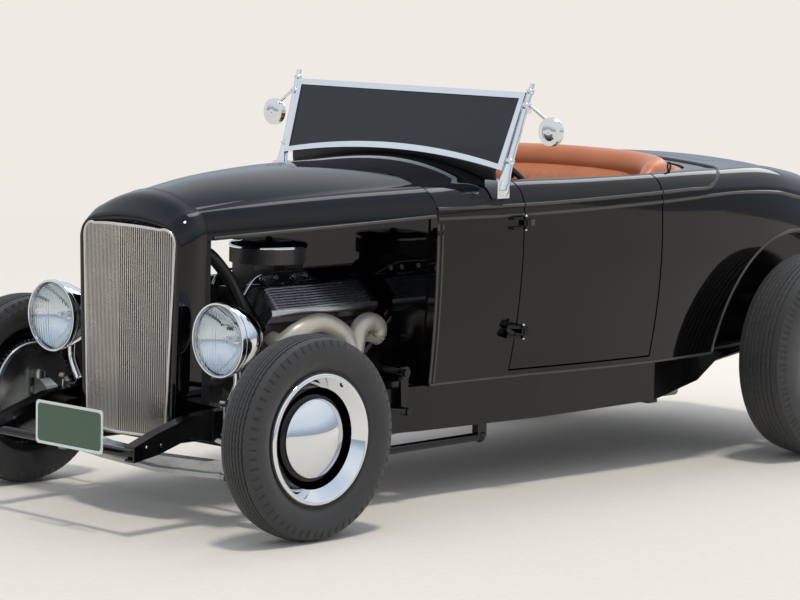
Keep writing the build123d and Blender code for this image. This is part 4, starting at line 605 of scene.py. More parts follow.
@dataclass
class Bodywork:
    """Tub, doors, deck lid and hood top as panels with rounded edges and beads."""

    front: float = 0.796
    sill: float = 0.395
    front_rise: float = 0.605
    rear_rise: float = 0.619
    door_front: float = 1.176
    door_rear: float = 1.876
    door_bottom: float = 0.420
    gap: float = 0.005
    wall: float = 0.042
    sheet: float = 0.006
    lid_front: float = 2.420
    lid_rear: float = 3.180
    lid_half: float = 0.350
    tail: float = 3.304
    corner: float = 0.150
    corner_start: float = 2.050
    corner_end: float = 2.200
    cockpit_front: float = 1.150
    cockpit_halves: tuple[float, float, float] = (0.470, 0.532, 0.508)
    cockpit_widest: float = 1.760
    air: float = 0.002
    arch_station: float = 2.692
    arch_height: float = 0.384
    arch_radius: float = 0.455
    arch_ends: tuple[float, float] = (0.0396, 0.2306)
    axle_slot: tuple[float, float, float] = (2.630, 2.862, 0.540)
    bead: float = 0.0068
    bead_step: float = 0.033
    well_half: float = 0.502
    hinge: tuple[float, float] = (0.570, 1.170)
    clamp: tuple[float, float] = (0.520, 2.000)
    hinge_rows: tuple[tuple[float, float], ...] = ((0.565, 0.530), (0.942, 0.549))
    belt_stations: tuple[float, ...] = (0.796, 1.182, 1.596, 1.942, 2.279, 2.520, 2.707)
    belt_heights: tuple[float, ...] = (0.968, 0.970, 0.979, 0.989, 1.000, 0.999, 0.968)

    def opening_half(self, s: np.ndarray) -> np.ndarray:
        """Half width of the hole in the body's top: straight sides, round corners and the deck's hole.

        Args:
            s: stations behind the cowl.

        Returns:
            Half width at each.
        """
        straight = np.interp(s, [self.cockpit_front, self.cockpit_widest, self.corner_end],
                             self.cockpit_halves)
        inner = self.cockpit_halves[2] - self.corner
        turned = inner + np.sqrt(np.maximum(self.corner ** 2 - (s - self.corner_start) ** 2, 0))
        half = np.where(s > self.corner_start, np.minimum(straight, turned), straight)
        rear = self.lid_half + self.gap
        behind = np.interp(s, [self.corner_end, self.lid_front - self.gap], [inner, rear])
        return np.where(s > self.corner_end - NEAR, behind, half)

    def arch_turn(self) -> np.ndarray:
        """Angles round the wheel arch, from its front end to its rear end."""
        return np.linspace(self.arch_ends[0], math.pi - self.arch_ends[1], 49)

    def rows(self, s: np.ndarray, low: np.ndarray, high: np.ndarray,
             first: Sequence[float] = ()) -> np.ndarray:
        """Share out rows of v between the lower edge, the belt and the upper edge.

        Args:
            s: stations of the columns; not used.
            low: v of the lower edge.
            high: v of the upper edge.
            first: shares of the side that get a row of their own.

        Returns:
            v of each row and column.
        """
        side = np.concatenate([first, 1 - (1 - np.linspace(0, 1, 15)[1 if len(first) else 0:]) ** 1.7])
        side = np.unique(np.round(np.concatenate([[0.0], side]), 6))[:, None]
        upper = np.linspace(0, 1, 19)[1:, None]
        return np.concatenate([low + (1 - low) * side, 1 + (high - 1) * upper])

    def tub(self) -> None:
        """Build cowl, sills, quarters, deck and tail as one skin with its openings."""
        skin = Piece("tub_skin")
        step = np.array([0.0, 0.5, 1.0]) * (self.door_bottom - self.sill)
        middle = (self.cockpit_front + self.door_front) / 2
        front = np.concatenate([np.linspace(self.front, self.cockpit_front, 17), [middle, self.door_front]])
        edge = BODY.v_at_x(front, np.full(len(front), self.cockpit_halves[0]))
        skin.mirrored(BODY.points(front, self.rows(front, 0 * front, edge, step / self.front_rise)))
        top = front[:-2]
        share = np.linspace(0, 1, 15)[:, None]
        skin.mirrored(BODY.points(top, edge[:-2] + (3 - edge[:-2]) * share))
        sill = np.linspace(self.door_front, self.door_rear, 29)
        skin.mirrored(BODY.points(sill, BODY.v_at_z(sill, self.sill + step[:, None] + 0 * sill)))
        rear = self.quarter_columns()
        low = self.lower_edge(rear)
        high = BODY.v_at_x(rear, self.opening_half(rear))
        skin.mirrored(BODY.points(rear, self.rows(rear, low, high, step / self.rear_rise)))
        for start, end in ((self.corner_end, self.lid_front - self.gap),
                           (self.lid_rear + self.gap, self.tail)):
            strip = rear[(rear > start - NEAR) & (rear < end + NEAR)]
            begin = BODY.v_at_x(strip, self.opening_half(strip))
            skin.mirrored(BODY.points(strip, begin + (3 - begin) * share))
        skin.build(BLACK_PAINT, closed=False, solid=self.wall, bevel=0.0022, replaces=["body_tub"])
        self.tail_panel()

    def quarter_columns(self) -> np.ndarray:
        """Choose the quarter's columns, close together where the arch and the corner turn.

        Returns:
            Stations of the columns.
        """
        corner = self.corner_start + self.corner * np.sin(np.linspace(0, math.pi / 2, 9))
        arch = self.arch_station - self.arch_radius * np.cos(self.arch_turn())
        arch[np.argmin(abs(arch - (self.lid_front - self.gap)))] = self.lid_front - self.gap
        return np.concatenate([np.linspace(self.door_rear, self.corner_start, 8)[:-1], corner, arch,
                               np.linspace(arch[-1], self.lid_rear + self.gap, 4)[1:],
                               np.linspace(self.lid_rear + self.gap, self.tail, 9)[1:]])

    def lower_edge(self, s: np.ndarray) -> np.ndarray:
        """Lower edge of the quarter: the sill line, or the circle of the wheel arch above it.

        Args:
            s: stations.

        Returns:
            v of the edge at each.
        """
        inside = np.maximum(self.arch_radius ** 2 - (s - self.arch_station) ** 2, 0)
        height = np.where(inside > 0, self.arch_height + np.sqrt(inside), 0)
        return np.maximum(BODY.v_at_z(s, height), 0)

    def tail_panel(self) -> None:
        """Close the tail with a slightly domed panel that turns into the skin round its edge."""
        v = np.linspace(0, 3, 46)
        rim = BODY.points(np.full(len(v), self.tail), v)
        rim = np.concatenate([rim, (rim * MIRROR)[::-1][1:]])
        middle = np.array([0.0, at(self.tail), rim[:, 2].mean()])
        shares = np.array([1.0, 0.99, 0.97, 0.9, 0.7, 0.4, 0.0])
        rises = np.array([-0.012, 0.001, 0.004, 0.006, 0.008, 0.009, 0.009])
        points = middle + (rim - middle)[None] * shares[:, None, None]
        points[..., 1] = at(self.tail) + rises[:, None]
        Piece("tail_panel").grid(points, wrap_columns=True).build(BLACK_PAINT, closed=False)

    def doors(self) -> None:
        """Build both doors as slabs of the whole wall's thickness with a leather card inside."""
        s = np.linspace(self.door_front + self.gap, self.door_rear - self.gap, 31)
        low = BODY.v_at_z(s, np.full(len(s), self.door_bottom + self.gap))
        points = BODY.points(s, self.rows(s, low, BODY.v_at_x(s, self.opening_half(s))))
        card_low, card_drop, margin = 0.47, 0.03, 0.012
        card_v = self.rows(s, BODY.v_at_z(s, np.full(len(s), card_low)),
                           BODY.v_at_x(s, self.opening_half(s) + card_drop))
        card = BODY.points(np.linspace(s[0] + margin, s[-1] - margin, len(s)), card_v)
        card = card - normals_of(card) * (self.wall + self.air)
        for name, sign in SIDES:
            flip = np.array([sign, 1.0, 1.0])
            skin = Piece(f"door_skin_{name}").grid(points * flip, flip=sign < 0)
            skin.build(BLACK_PAINT, f"door_{name}", closed=False, solid=self.wall, bevel=0.0022,
                       replaces=[f"door_{name}"])
            lining = Piece(f"door_card_{name}").grid(card * flip, flip=sign < 0)
            lining.build(LEATHER, f"door_{name}", closed=False, solid=0.01, bevel=0.003)

    def deck(self) -> None:
        """Build the deck lid as a thin skin of the body's own crown."""
        s = np.linspace(self.lid_front, self.lid_rear, 41)
        edge = BODY.v_at_x(s, np.full(len(s), self.lid_half))
        half = BODY.points(s, edge + (3 - edge) * np.linspace(0, 1, 17)[:, None])
        lid = Piece("deck_skin").mirrored(half)
        lid.build(BLACK_PAINT, "deck_lid", closed=False, solid=0.014, bevel=0.002, replaces=["deck_lid"])

    def hood(self) -> None:
        """Build the hood top, a thin skin with a short side lip."""
        s = np.linspace(-0.0215, 0.7935, 49)
        v = np.concatenate([np.linspace(0, 1, 3), np.linspace(1, 2, 17)[1:], np.linspace(2, 3, 21)[1:]])
        top = Piece("hood_skin").mirrored(HOOD.points(s[None, :], v[:, None]))
        top.build(BLACK_PAINT, closed=False, solid=self.sheet, bevel=0.0015, replaces=["hood_top"])

    def belt_beads(self) -> None:
        """Lay the two raised beads of the belt, cut at the doors' shut lines, and the other mouldings.

        The upper bead keeps one height above the lower one, and behind the door it climbs over the
        shoulder and runs round the cockpit's rear corner to the middle of the deck.
        """
        spans = (("root", "cowl", self.front + 0.003, self.door_front),
                 ("door", "door", self.door_front + self.gap, self.door_rear - self.gap))
        for body, name, start, end in spans:
            s = np.linspace(start, end, 24)
            lines = [BODY.points(s, self.bead_v(s, rise)) for rise in (0.0, self.bead_step)]
            self.bead_pair(f"belt_beads_{name}", lines, body)
        s = np.linspace(self.door_rear, self.tail - 0.014, 60)
        low = BODY.points(s, np.minimum(self.bead_v(np.minimum(s, 2.66), 0.0), 0.97))
        steps = np.linspace(0, 6, 61)
        s = curve(range(7), [self.door_rear, 2.02, 2.15, 2.24, 2.285, 2.295, 2.295], steps)
        start_v = self.bead_v(np.array([self.door_rear, 2.02, 2.12]), self.bead_step)
        v = curve(range(7), [*start_v, 1.55, 1.92, 2.25, 3.0], steps)
        self.bead_pair("belt_beads_quarter", [low, BODY.points(s, np.minimum(v, 3.0))], "root")
        angles = np.linspace(0.06, math.pi - 0.26, 60)
        radius = self.arch_radius + 0.004
        s, z = self.arch_station - radius * np.cos(angles), self.arch_height + radius * np.sin(angles)
        self.bead_pair("arch_beads", [BODY.points(s, BODY.v_at_z(s, z))], "root", 0.0055)
        s = np.linspace(0.0, 0.79, 40)
        self.bead_pair("hood_beads", [HOOD.points(s, np.full(len(s), 0.45))], "root")
        v = np.linspace(0.02, 0.94, 30)
        upright = [BODY.points(np.full(len(v), station), v) for station in (0.801, 0.819)]
        self.bead_pair("cowl_edge_beads", upright, "root", 0.0048)
        s = np.linspace(0.800, 2.236, 60)
        self.bead_pair("sill_beads", [BODY.points(s, np.full(len(s), 0.008))], "root", 0.0050)

    def bead_v(self, s: np.ndarray, rise: float) -> np.ndarray:
        """Find a belt bead's line on the side or on the upper arc, from its height.

        Args:
            s: stations.
            rise: height above the lower bead.

        Returns:
            v of the line at each station.
        """
        z = curve(self.belt_stations, self.belt_heights, s) + rise
        scale = np.linspace(0.7, 2.0, 261)
        heights = BODY.points(np.asarray(s)[:, None], scale[None, :])[..., 2]
        return np.array([np.interp(want, row, scale) for want, row in zip(z, heights)])

    def bead_pair(self, name: str, lines: list[np.ndarray], body: str, radius: float | None = None) -> None:
        """Make beads on the left lines and on their mirror images.

        Args:
            name: name of the piece.
            lines: middle lines on the skin.
            body: body that carries them, or door for one piece on each door.
            radius: radius of the bead, or nothing for the usual one.
        """
        groups = [(name, body, (1.0, -1.0))]
        if body == "door":
            groups = [(f"{name}_{side}", f"door_{side}", (sign,)) for side, sign in SIDES]
        for label, rider, signs in groups:
            piece = Piece(label)
            for line in lines:
                for sign in signs:
                    piece.tube(line * np.array([sign, 1, 1]), radius or self.bead, 10)
            # Every bead takes the grey enamel, a painted highlight along its top
            piece.build(BEAD_HIGHLIGHT_PAINT, rider)

    def wheelhouses(self) -> None:
        """Build the inner wells of the rear wheels: a band round the arch and an upright plate.

        The band's points lie on the arch's circle, from the plate's plane out to the skin. The plate is
        cut open round the axle.
        """
        angles = self.arch_turn()
        s = self.arch_station - self.arch_radius * np.cos(angles)
        z = self.arch_height + self.arch_radius * np.sin(angles)
        outer = BODY.points(s, BODY.v_at_z(s, z))[:, 0] - 0.003
        share = np.linspace(0, 1, 9)[:, None]
        x = self.well_half + (outer - self.well_half) * share
        band = np.stack([x, np.broadcast_to(at(s), x.shape), np.broadcast_to(z, x.shape)], -1)
        well = Piece("rear_wheel_wells").mirrored(band, flip=True)
        floor = BODY.columns(s)[:, 1] + 0.002
        slot_front, slot_rear, slot_top = self.axle_slot
        low = np.minimum(np.where((s > slot_front) & (s < slot_rear), slot_top, floor), z)
        rows = low + (z - low) * np.linspace(0, 1, 13)[:, None]
        plate = np.stack([np.full(rows.shape, self.well_half), np.broadcast_to(at(s), rows.shape), rows], -1)
        well.mirrored(plate)
        well.build(FRAME_PAINT, closed=False, solid=0.006)

    def hinges(self) -> None:
        """Build the exposed hinges: ears on the cowl, straps on the doors and bright pins."""
        x0, s0 = self.hinge
        turn = np.linspace(-math.pi / 2, math.pi / 2, 13)
        pins = Piece("hinge_pins")
        for side, sign in SIDES:
            ears, straps = Piece(f"hinge_ears_{side}"), Piece(f"hinge_straps_{side}")
            for z, panel in self.hinge_rows:
                eye = np.stack([x0 + 0.008 * np.sin(turn), s0 + 0.008 * np.cos(turn)], -1)
                strap = np.array([(x0 + 0.006, s0 + 0.020), (panel + 0.014, s0 + 0.054),
                                  (panel - 0.006, s0 + 0.058), (panel - 0.006, s0 + 0.018),
                                  (x0 - 0.008, s0 + 0.010)])
                for piece, back, rows in ((ears, 1.0, ((-0.022, -0.0115), (0.0115, 0.022))),
                                          (straps, -1.0, ((-0.0109, 0.0109),))):
                    loop = np.concatenate([strap[::-1], eye]) - np.array([0.0, s0])
                    loop[:, 1] *= -back
                    loop = (loop + np.array([0.0, at(s0)])) * np.array([sign, 1.0])
                    for low, high in rows:
                        piece.prism(loop, z + low, z + high)
                dome = np.array([(0.0, 0.0055), (0.003, 0.0055), (0.006, 0.003), (0.0065, 0.0)])
                for end in (1.0, -1.0):
                    pins.turned(dome, (sign * x0, at(s0), z + end * 0.0218), (0.0, 0.0, end), 24)
            ears.build(BLACK_PAINT, bevel=0.0012)
            straps.build(BLACK_PAINT, f"door_{side}", bevel=0.0012)
        pins.build(CHROME, smooth=50)

    def latches(self) -> None:
        """Stand a small loop for the top's side clamp on each shoulder behind the door."""
        turn = np.linspace(0, TAU, 33)
        piece = Piece("top_clamp_loops")
        x, s = self.clamp
        foot = float(BODY.points(np.array([s]), BODY.v_at_x(np.array([s]), np.array([x])))[0, 2])
        wide, high, lift, sunk = 0.0085, 0.014, 0.018, 0.006
        for sign in (1.0, -1.0):
            loop = np.column_stack([np.full(len(turn), sign * x), at(s) + wide * np.cos(turn),
                                    foot + lift + high * np.sin(turn)])
            piece.tube(loop, 0.0034, 12, up=ACROSS)
            stem = [(sign * x, at(s), foot - sunk), (sign * x, at(s), foot + sunk)]
            piece.tube(stem, 0.006, 12, up=ACROSS)
        piece.build(BLACK_PAINT)

    def build(self) -> None:
        """Build every panel."""
        self.latches()
        self.tub()
        self.wheelhouses()
        self.hinges()
        self.doors()
        self.deck()
        self.hood()
        self.belt_beads()


@dataclass
class Studio:
    """Camera at the photograph's place, pale floor, sky and soft lamps."""

    eye: tuple[float, float, float] = (7.6603, -8.2393, 1.8699)
    yaw: float = 0.7666
    pitch: float = 0.1124
    roll: float = 0.0211
    focal_pixels: float = 3109.94
    image_width: float = 800.0
    sensor: float = 36.0
    pale: str = "EFEBE4"
    near: float = 4.5
    far: float = 12.0
    toward: tuple[float, float, float] = (0.22, -0.08, 1.0)
    power: float = 1.3
    spread: float = 8.0
    strip_power: float = 115.0
    strip_size: tuple[float, float] = (1.8, 7.5)
    strip_place: tuple[float, float, float] = (-1.0, 4.2, 6.0)
    strip_aim: tuple[float, float, float] = (0.0, -0.5, 0.8)
    sky_colours: tuple[tuple[float, str], ...] = (
        (0.0, "A4A7AA"), (0.08, "A9B8CC"), (0.24, "DCE7F4"), (0.6, "F1F6FC"), (1.0, "B9CCE6"))
    fill_colour: str = "C9CED6"
    reach: float = 60.0

    def camera(self) -> None:
        """Place the camera that the photograph was taken with."""
        cy, sy, cp, sp = math.cos(self.yaw), math.sin(self.yaw), math.cos(self.pitch), math.sin(self.pitch)
        forward = Vector((-sy * cp, cy * cp, -sp))
        right = Vector((cy, sy, 0.0))
        up = right.cross(forward)
        c, s = math.cos(self.roll), math.sin(self.roll)
        right, up = right * c + up * s, up * c - right * s
        data = bpy.data.cameras.new("photo_camera")
        data.sensor_width = self.sensor
        data.lens = self.focal_pixels * self.sensor / self.image_width
        data.clip_end = 200.0
        camera = bpy.data.objects.new("photo_camera", data)
        bpy.context.scene.collection.objects.link(camera)
        turn = Matrix((right, up, -forward)).transposed().to_4x4()
        camera.matrix_world = Matrix.Translation(self.eye) @ turn
        bpy.context.scene.camera = camera

    def sun(self) -> None:
        """Hang one broad, distant lamp nearly overhead, as the photograph's short shadows show."""
        data = bpy.data.lights.new("key_lamp", "SUN")
        data.energy, data.angle = self.power, math.radians(self.spread)
        data.color = linear("FFF8EE")[:3]
        lamp = bpy.data.objects.new("key_lamp", data)
        bpy.context.scene.collection.objects.link(lamp)
        lamp.rotation_mode = "QUATERNION"
        lamp.rotation_quaternion = (-Vector(self.toward)).to_track_quat("-Z", "Y")

    def strip(self) -> None:
        """Hang a long soft strip lamp behind the car, which draws the light streak on hood and shoulders."""
        data = bpy.data.lights.new("strip_lamp", "AREA")
        data.shape, data.energy = "RECTANGLE", self.strip_power
        data.size, data.size_y = self.strip_size
        lamp = bpy.data.objects.new("strip_lamp", data)
        bpy.context.scene.collection.objects.link(lamp)
        lamp.visible_camera = False
        lamp.location = self.strip_place
        lamp.rotation_mode = "QUATERNION"
        lamp.rotation_quaternion = (Vector(self.strip_aim) - lamp.location).to_track_quat("-Z", "Y")

    def sky(self) -> None:
        """Set a pale sky: camera and mirror rays see its colour, and it lights the car softly."""
        world = bpy.data.worlds.new("studio_sky")
        bpy.context.scene.world = world
        world.use_nodes = True
        tree = world.node_tree
        tree.nodes.clear()
        aim = add_node(tree, "ShaderNodeTexCoord").outputs["Generated"]
        parts = add_node(tree, "ShaderNodeSeparateXYZ", {0: aim})
        ramp = add_node(tree, "ShaderNodeValToRGB", {0: parts.outputs[2]}).color_ramp
        ramp.elements.remove(ramp.elements[1])
        for place, code in self.sky_colours:
            stop = ramp.elements[0] if place == 0 else ramp.elements.new(place)
            stop.color = linear(code)
        mirrored = tree.nodes[-1].outputs[0]
        path = add_node(tree, "ShaderNodeLightPath")
        seen = add_node(tree, "ShaderNodeMath", {0: path.outputs["Is Glossy Ray"],
                                                 1: path.outputs["Is Transmission Ray"]}, operation="MAXIMUM")
        soft = add_node(tree, "ShaderNodeMix", {0: seen.outputs[0], 6: linear(self.fill_colour), 7: mirrored},
                        data_type="RGBA")
        shown = add_node(tree, "ShaderNodeMix", {0: path.outputs["Is Camera Ray"], 6: soft.outputs[2],
                                                 7: linear(self.pale)}, data_type="RGBA")
        back = add_node(tree, "ShaderNodeBackground", {"Color": shown.outputs[2], "Strength": 1.0})
        add_node(tree, "ShaderNodeOutputWorld", {"Surface": back.outputs[0]})

    def floor(self) -> None:
        """Lay a pale floor that takes the car's shadow and goes over into the even background far away."""
        mesh = bpy.data.meshes.new("studio_floor")
        far = self.reach
        mesh.from_pydata([(-far, -far, 0), (far, -far, 0), (far, far, 0), (-far, far, 0)], [], [(0, 1, 2, 3)])
        floor = bpy.data.objects.new("studio_floor", mesh)
        bpy.context.scene.collection.objects.link(floor)
        material = bpy.data.materials.new("pale_floor")
        material.use_nodes = True
        tree = material.node_tree
        tree.nodes.clear()
        place = add_node(tree, "ShaderNodeTexCoord").outputs["Object"]
        mottle = add_node(tree, "ShaderNodeTexNoise", {"Vector": place, "Scale": 40.0, "Detail": 8.0})
        tint = add_node(tree, "ShaderNodeMix", {
            0: mottle.outputs[0], 6: linear("E1DCD3"), 7: linear("EDE9E1")}, data_type="RGBA")
        shader = add_node(tree, "ShaderNodeBsdfPrincipled", {
            "Base Color": tint.outputs[2], "Roughness": 0.85})
        away = add_node(tree, "ShaderNodeVectorMath", {0: place}, operation="LENGTH")
        fade = add_node(tree, "ShaderNodeMapRange", {"Value": away.outputs["Value"], "From Min": self.near,
                                                     "From Max": self.far}, interpolation_type="SMOOTHSTEP")
        path = add_node(tree, "ShaderNodeLightPath")
        mirrored = add_node(tree, "ShaderNodeMath", {0: path.outputs["Is Camera Ray"],
                                                     1: path.outputs["Is Glossy Ray"]}, operation="MAXIMUM")
        seen = add_node(tree, "ShaderNodeMath", {0: mirrored.outputs[0],
                                                 1: path.outputs["Is Transmission Ray"]}, operation="MAXIMUM")
        share = add_node(tree, "ShaderNodeMath", {0: fade.outputs[0], 1: seen.outputs[0]},
                         operation="MULTIPLY")
        even = add_node(tree, "ShaderNodeEmission", {"Color": linear(self.pale), "Strength": 1.0})
        both = add_node(tree, "ShaderNodeMixShader", {0: share.outputs[0], 1: shader.outputs[0],
                                                      2: even.outputs[0]})
        add_node(tree, "ShaderNodeOutputMaterial", {"Surface": both.outputs[0]})
        mesh.materials.append(material)

    def build(self) -> None:
        """Set up camera, lamps, sky and floor."""
        bpy.context.scene.view_settings.view_transform = "Standard"
        self.camera()
        self.sky()
        self.floor()
        self.sun()
        self.strip()


@dataclass
class Corner:
    """One wheel with its tyre, rim, drum, trim ring and cap."""

    name: str
    side: float
    radius: float
    width: float
    tread: float
    rim_width: float
    drum_radius: float
    drum_width: float
    finned: bool
    notches: int
    notch_reach: float
    notch_share: float
    rim_radius: float = 0.203
    flange: float = 0.015
    wall: float = 0.004
    disc_face: float = 0.012
    around: int = 480
    ribs: int = 8
    zigzags: int = 80
    groove: float = 0.006
    notch: float = 0.0042
    rings: tuple[float, ...] = (0.030, 0.052)
    fins: int = 60
    fin_height: float = 0.011
    fin_thickness: float = 0.0026
    trim_outer: float = 0.212
    trim_inner: float = 0.163
    cap_radius: float = 0.127
    cap_rise: float = 0.040

    def place(self) -> tuple[tuple[float, float, float], tuple[float, float, float]]:
        """Centre of the wheel, and its axis pointing away from the car."""
        joint = JOINTS[f"wheel_{self.name}"]["pos_m"]
        return (joint[0], joint[1], joint[2]), (self.side, 0.0, 0.0)

    def tyre_profile(self) -> np.ndarray:
        """Outline of the tyre: two arcs for the walls and a flatter one for the tread.

        Returns:
            Points as (x, radius), from the inner bead over the tread to the outer bead.
        """
        half, flat, bead = self.width / 2, self.tread / 2, self.rim_radius + 0.001
        side = self.rim_width / 2 - self.wall - 0.0003
        knee, crown = bead + self.flange + 0.001, self.radius - 0.012
        middle = bead + (self.radius - bead) * 0.46
        wall = arc_points((side, knee), (half, middle), (flat, crown), 26)
        top = arc_points((flat, crown), (0, self.radius), (-flat, crown), 66)
        right = np.concatenate([[(side, bead)], wall, top[1:-1]])
        return np.concatenate([right, (wall * np.array([-1, 1]))[::-1], [(-side, bead)]])[::-1]

    def tyre(self) -> None:
        """Build the tyre: its profile goes round the axle, and grooves and notches press it inwards.

        A groove's middle zigzags as a triangle wave of the angle. Its depth falls off at both edges by
        a smooth step. The shoulder's notches are a square wave of the angle.
        """
        profile = self.tyre_profile()
        theta = np.arange(self.around) * TAU / self.around
        x, r = profile[:, 0][:, None], profile[:, 1][:, None]
        flat = self.tread / 2
        zigzag = 0.0016 * (2 * abs((theta * self.zigzags / TAU) % 1 * 2 - 1) - 1)[None, :]
        press = np.zeros((len(profile), self.around))
        on_tread = r > self.radius - 0.0128
        for index in range(self.ribs - 1):
            middle = (index - (self.ribs - 2) / 2) * self.tread * 0.86 / self.ribs
            away = abs(x - middle - zigzag)
            press = np.maximum(press, self.groove * np.clip((0.0026 - away) / 0.0014, 0, 1) * on_tread)
        shoulder = np.clip((abs(x) - flat - 0.001) / 0.002, 0, 1)
        shoulder = shoulder * np.clip((r - self.radius + self.notch_reach) / 0.003, 0, 1)
        cut = ((theta * self.notches / TAU) % 1 < self.notch_share)[None, :]
        press = np.maximum(press, self.notch * shoulder * cut)
        places = (*(self.rim_radius + out for out in self.rings), self.radius - 0.040)
        rings = sum(0.0011 * np.exp(-((r - mid) / 0.0014) ** 2) for mid in places) * (abs(x) > 0.02)
        slope = np.gradient(profile, axis=0)
        outward = np.stack([-slope[:, 1], slope[:, 0]], -1)
        outward /= np.linalg.norm(outward, axis=1, keepdims=True)
        outward *= np.sign(outward[:, 1:2] + 0.35 * np.sign(profile[:, :1]) * np.sign(outward[:, :1]) + TINY)
        shift = (rings - press)[..., None] * outward[:, None, :]
        xr = profile[:, None, :] + shift
        centre = self.place()[0]
        points = np.stack([centre[0] + self.side * xr[..., 0], centre[1] + xr[..., 1] * np.cos(theta),
                           centre[2] + xr[..., 1] * np.sin(theta)], -1)
        tyre = Piece(f"ribbed_tyre_{self.name}").grid(points, wrap_rows=True, wrap_columns=True)
        tyre.build(TYRE_RUBBER, f"wheel_{self.name}", smooth=40, replaces=[f"tyre_{self.name}"])

    def rim(self) -> None:
        """Build the black steel rim with its dished centre and its valve."""
        half, bed, t = self.rim_width / 2, self.rim_radius - 0.001, self.wall
        lip, well = bed + self.flange, bed - 0.020
        loop = [(-half + t, lip), (-half + t, bed), (-half + 0.022, bed), (-half + 0.032, well),
                (half - 0.042, well), (half - 0.030, bed), (half - t, bed), (half - t, lip),
                (half, lip), (half, bed - t), (half - 0.028, bed - t), (half - 0.040, well - t),
                (-half + 0.030, well - t), (-half + 0.020, bed - t), (-half, bed - t), (-half, lip)]
        centre, axis = self.place()
        piece = Piece(f"painted_rim_{self.name}").turned(np.array(loop), centre, axis, 80, wrap=True)
        face, seat, cap = self.disc_face, well - t + 0.001, self.cap_radius
        bowl = np.concatenate([
            arc_points((face - 0.020, seat), (face - 0.012, seat - 0.018), (face + 0.010, cap + 0.014), 12),
            arc_points((face + 0.012, cap + 0.010), (face + 0.015, cap), (face + 0.008, cap - 0.014), 8),
            [(face - 0.010, cap - 0.034), (face - 0.010, 0.024)]])
        back = bowl[::-1] - np.array([0.006, 0.0])
        piece.turned(np.concatenate([bowl, back]), centre, axis, 80, wrap=True)
        piece.build(BLACK_PAINT, f"wheel_{self.name}", bevel=0.0008, replaces=[f"wheel_{self.name}"])
        lean = np.array([0.0, math.sin(0.5), math.cos(0.5)])
        root = np.array(centre) + np.array([self.side * (half - 0.026), 0, 0]) + lean * (bed - 0.006)
        tip = root + np.array([self.side * 0.030, 0, 0]) - lean * 0.012
        valve = Piece(f"valve_{self.name}")
        valve.tube([root, root * 0.4 + tip * 0.6, tip], [0.005, 0.0042, 0.0036], 12, up=AFT)
        valve.build(BLACK_RUBBER, f"wheel_{self.name}")

    def drum(self) -> None:
        """Build the brake drum behind the wheel, with cast cooling fins on the front ones."""
        centre, axis = self.place()
        face, wall, r = self.disc_face - 0.016, 0.008, self.drum_radius
        back, hub, bore = face - self.drum_width, 0.044, 0.017
        loop = [(face, bore), (face, r - 0.004), (face - 0.004, r), (back + 0.004, r), (back, r - 0.004),
                (back, r - wall), (face - wall, r - wall), (face - wall, hub), (back + 0.018, hub),
                (back + 0.018, bore)]
        piece = Piece(f"brake_drum_{self.name}").turned(np.array(loop), centre, axis, 80, wrap=True)
        if self.finned:
            count, top = self.fins, r + self.fin_height
            corners = np.array([(a, b, c) for c in (-self.fin_thickness / 2, self.fin_thickness / 2)
                                for a, b in ((back + 0.002, r - 0.001), (face - 0.002, r - 0.001),
                                             (face - 0.006, top), (back + 0.006, top))])
            turn = np.arange(count) * TAU / count
            fx = np.broadcast_to(corners[:, 0], (count, 8))
            fr, ft = corners[:, 1][None, :], corners[:, 2][None, :]
            y = fr * np.cos(turn)[:, None] - ft * np.sin(turn)[:, None]
            z = fr * np.sin(turn)[:, None] + ft * np.cos(turn)[:, None]
            points = np.stack([centre[0] + self.side * fx, centre[1] + y, centre[2] + z], -1)
            box = np.array([(0, 1, 2, 3), (7, 6, 5, 4), (0, 4, 5, 1),
                            (1, 5, 6, 2), (2, 6, 7, 3), (3, 7, 4, 0)])
            piece.faces.append((np.arange(count)[:, None, None] * 8 + box[None]).reshape(-1, 4) + piece.count)
            piece.points.append(points.reshape(-1, 3))
            piece.count += count * 8
        piece.build(CAST_ALUMINIUM if self.finned else FRAME_PAINT, f"wheel_{self.name}", bevel=0.0005)

    def trim(self) -> None:
        """Build the bright trim ring and the domed cap."""
        centre, axis = self.place()
        face, outer, inner = self.rim_width / 2 + 0.0011, self.trim_outer, self.trim_inner
        knee = (face + 0.004, outer - 0.016)
        lip = arc_points((face - 0.0006, outer), (face + 0.0065, outer - 0.007), knee, 12)
        cone = arc_points(knee, (face - 0.011, outer - 0.033), (face - 0.026, inner), 14)
        skin = np.concatenate([lip, cone[1:], [(face - 0.029, inner + 0.001)]])
        back = skin[::-1] + np.array([-0.0014, 0.0006])
        ring = Piece(f"trim_ring_{self.name}")
        ring.turned(np.concatenate([skin, back]), centre, axis, 128, wrap=True)
        ring.build(CHROME, f"wheel_{self.name}", smooth=60, replaces=[f"wheel_trim_{self.name}"])
        base, rim, rise = self.disc_face + 0.0143, self.cap_radius, self.cap_rise
        ball = (rim ** 2 + rise ** 2) / (2 * rise)
        angle = np.linspace(math.asin(rim / ball), 0, 24)
        dome = np.stack([base + 0.008 + rise - ball + ball * np.cos(angle), ball * np.sin(angle)], -1)
        foot = arc_points((base, rim), (base + 0.003, rim + 0.0012), (base + 0.008, rim), 8)
        cap = Piece(f"hub_cap_{self.name}").turned(np.concatenate([foot, dome[1:]]), centre, axis, 96)
        cap.build(CHROME, f"wheel_{self.name}", smooth=60, closed=False, solid=0.0015)

    def build(self) -> None:
        """Build the whole corner."""
        self.tyre()
        self.rim()
        self.drum()
        self.trim()


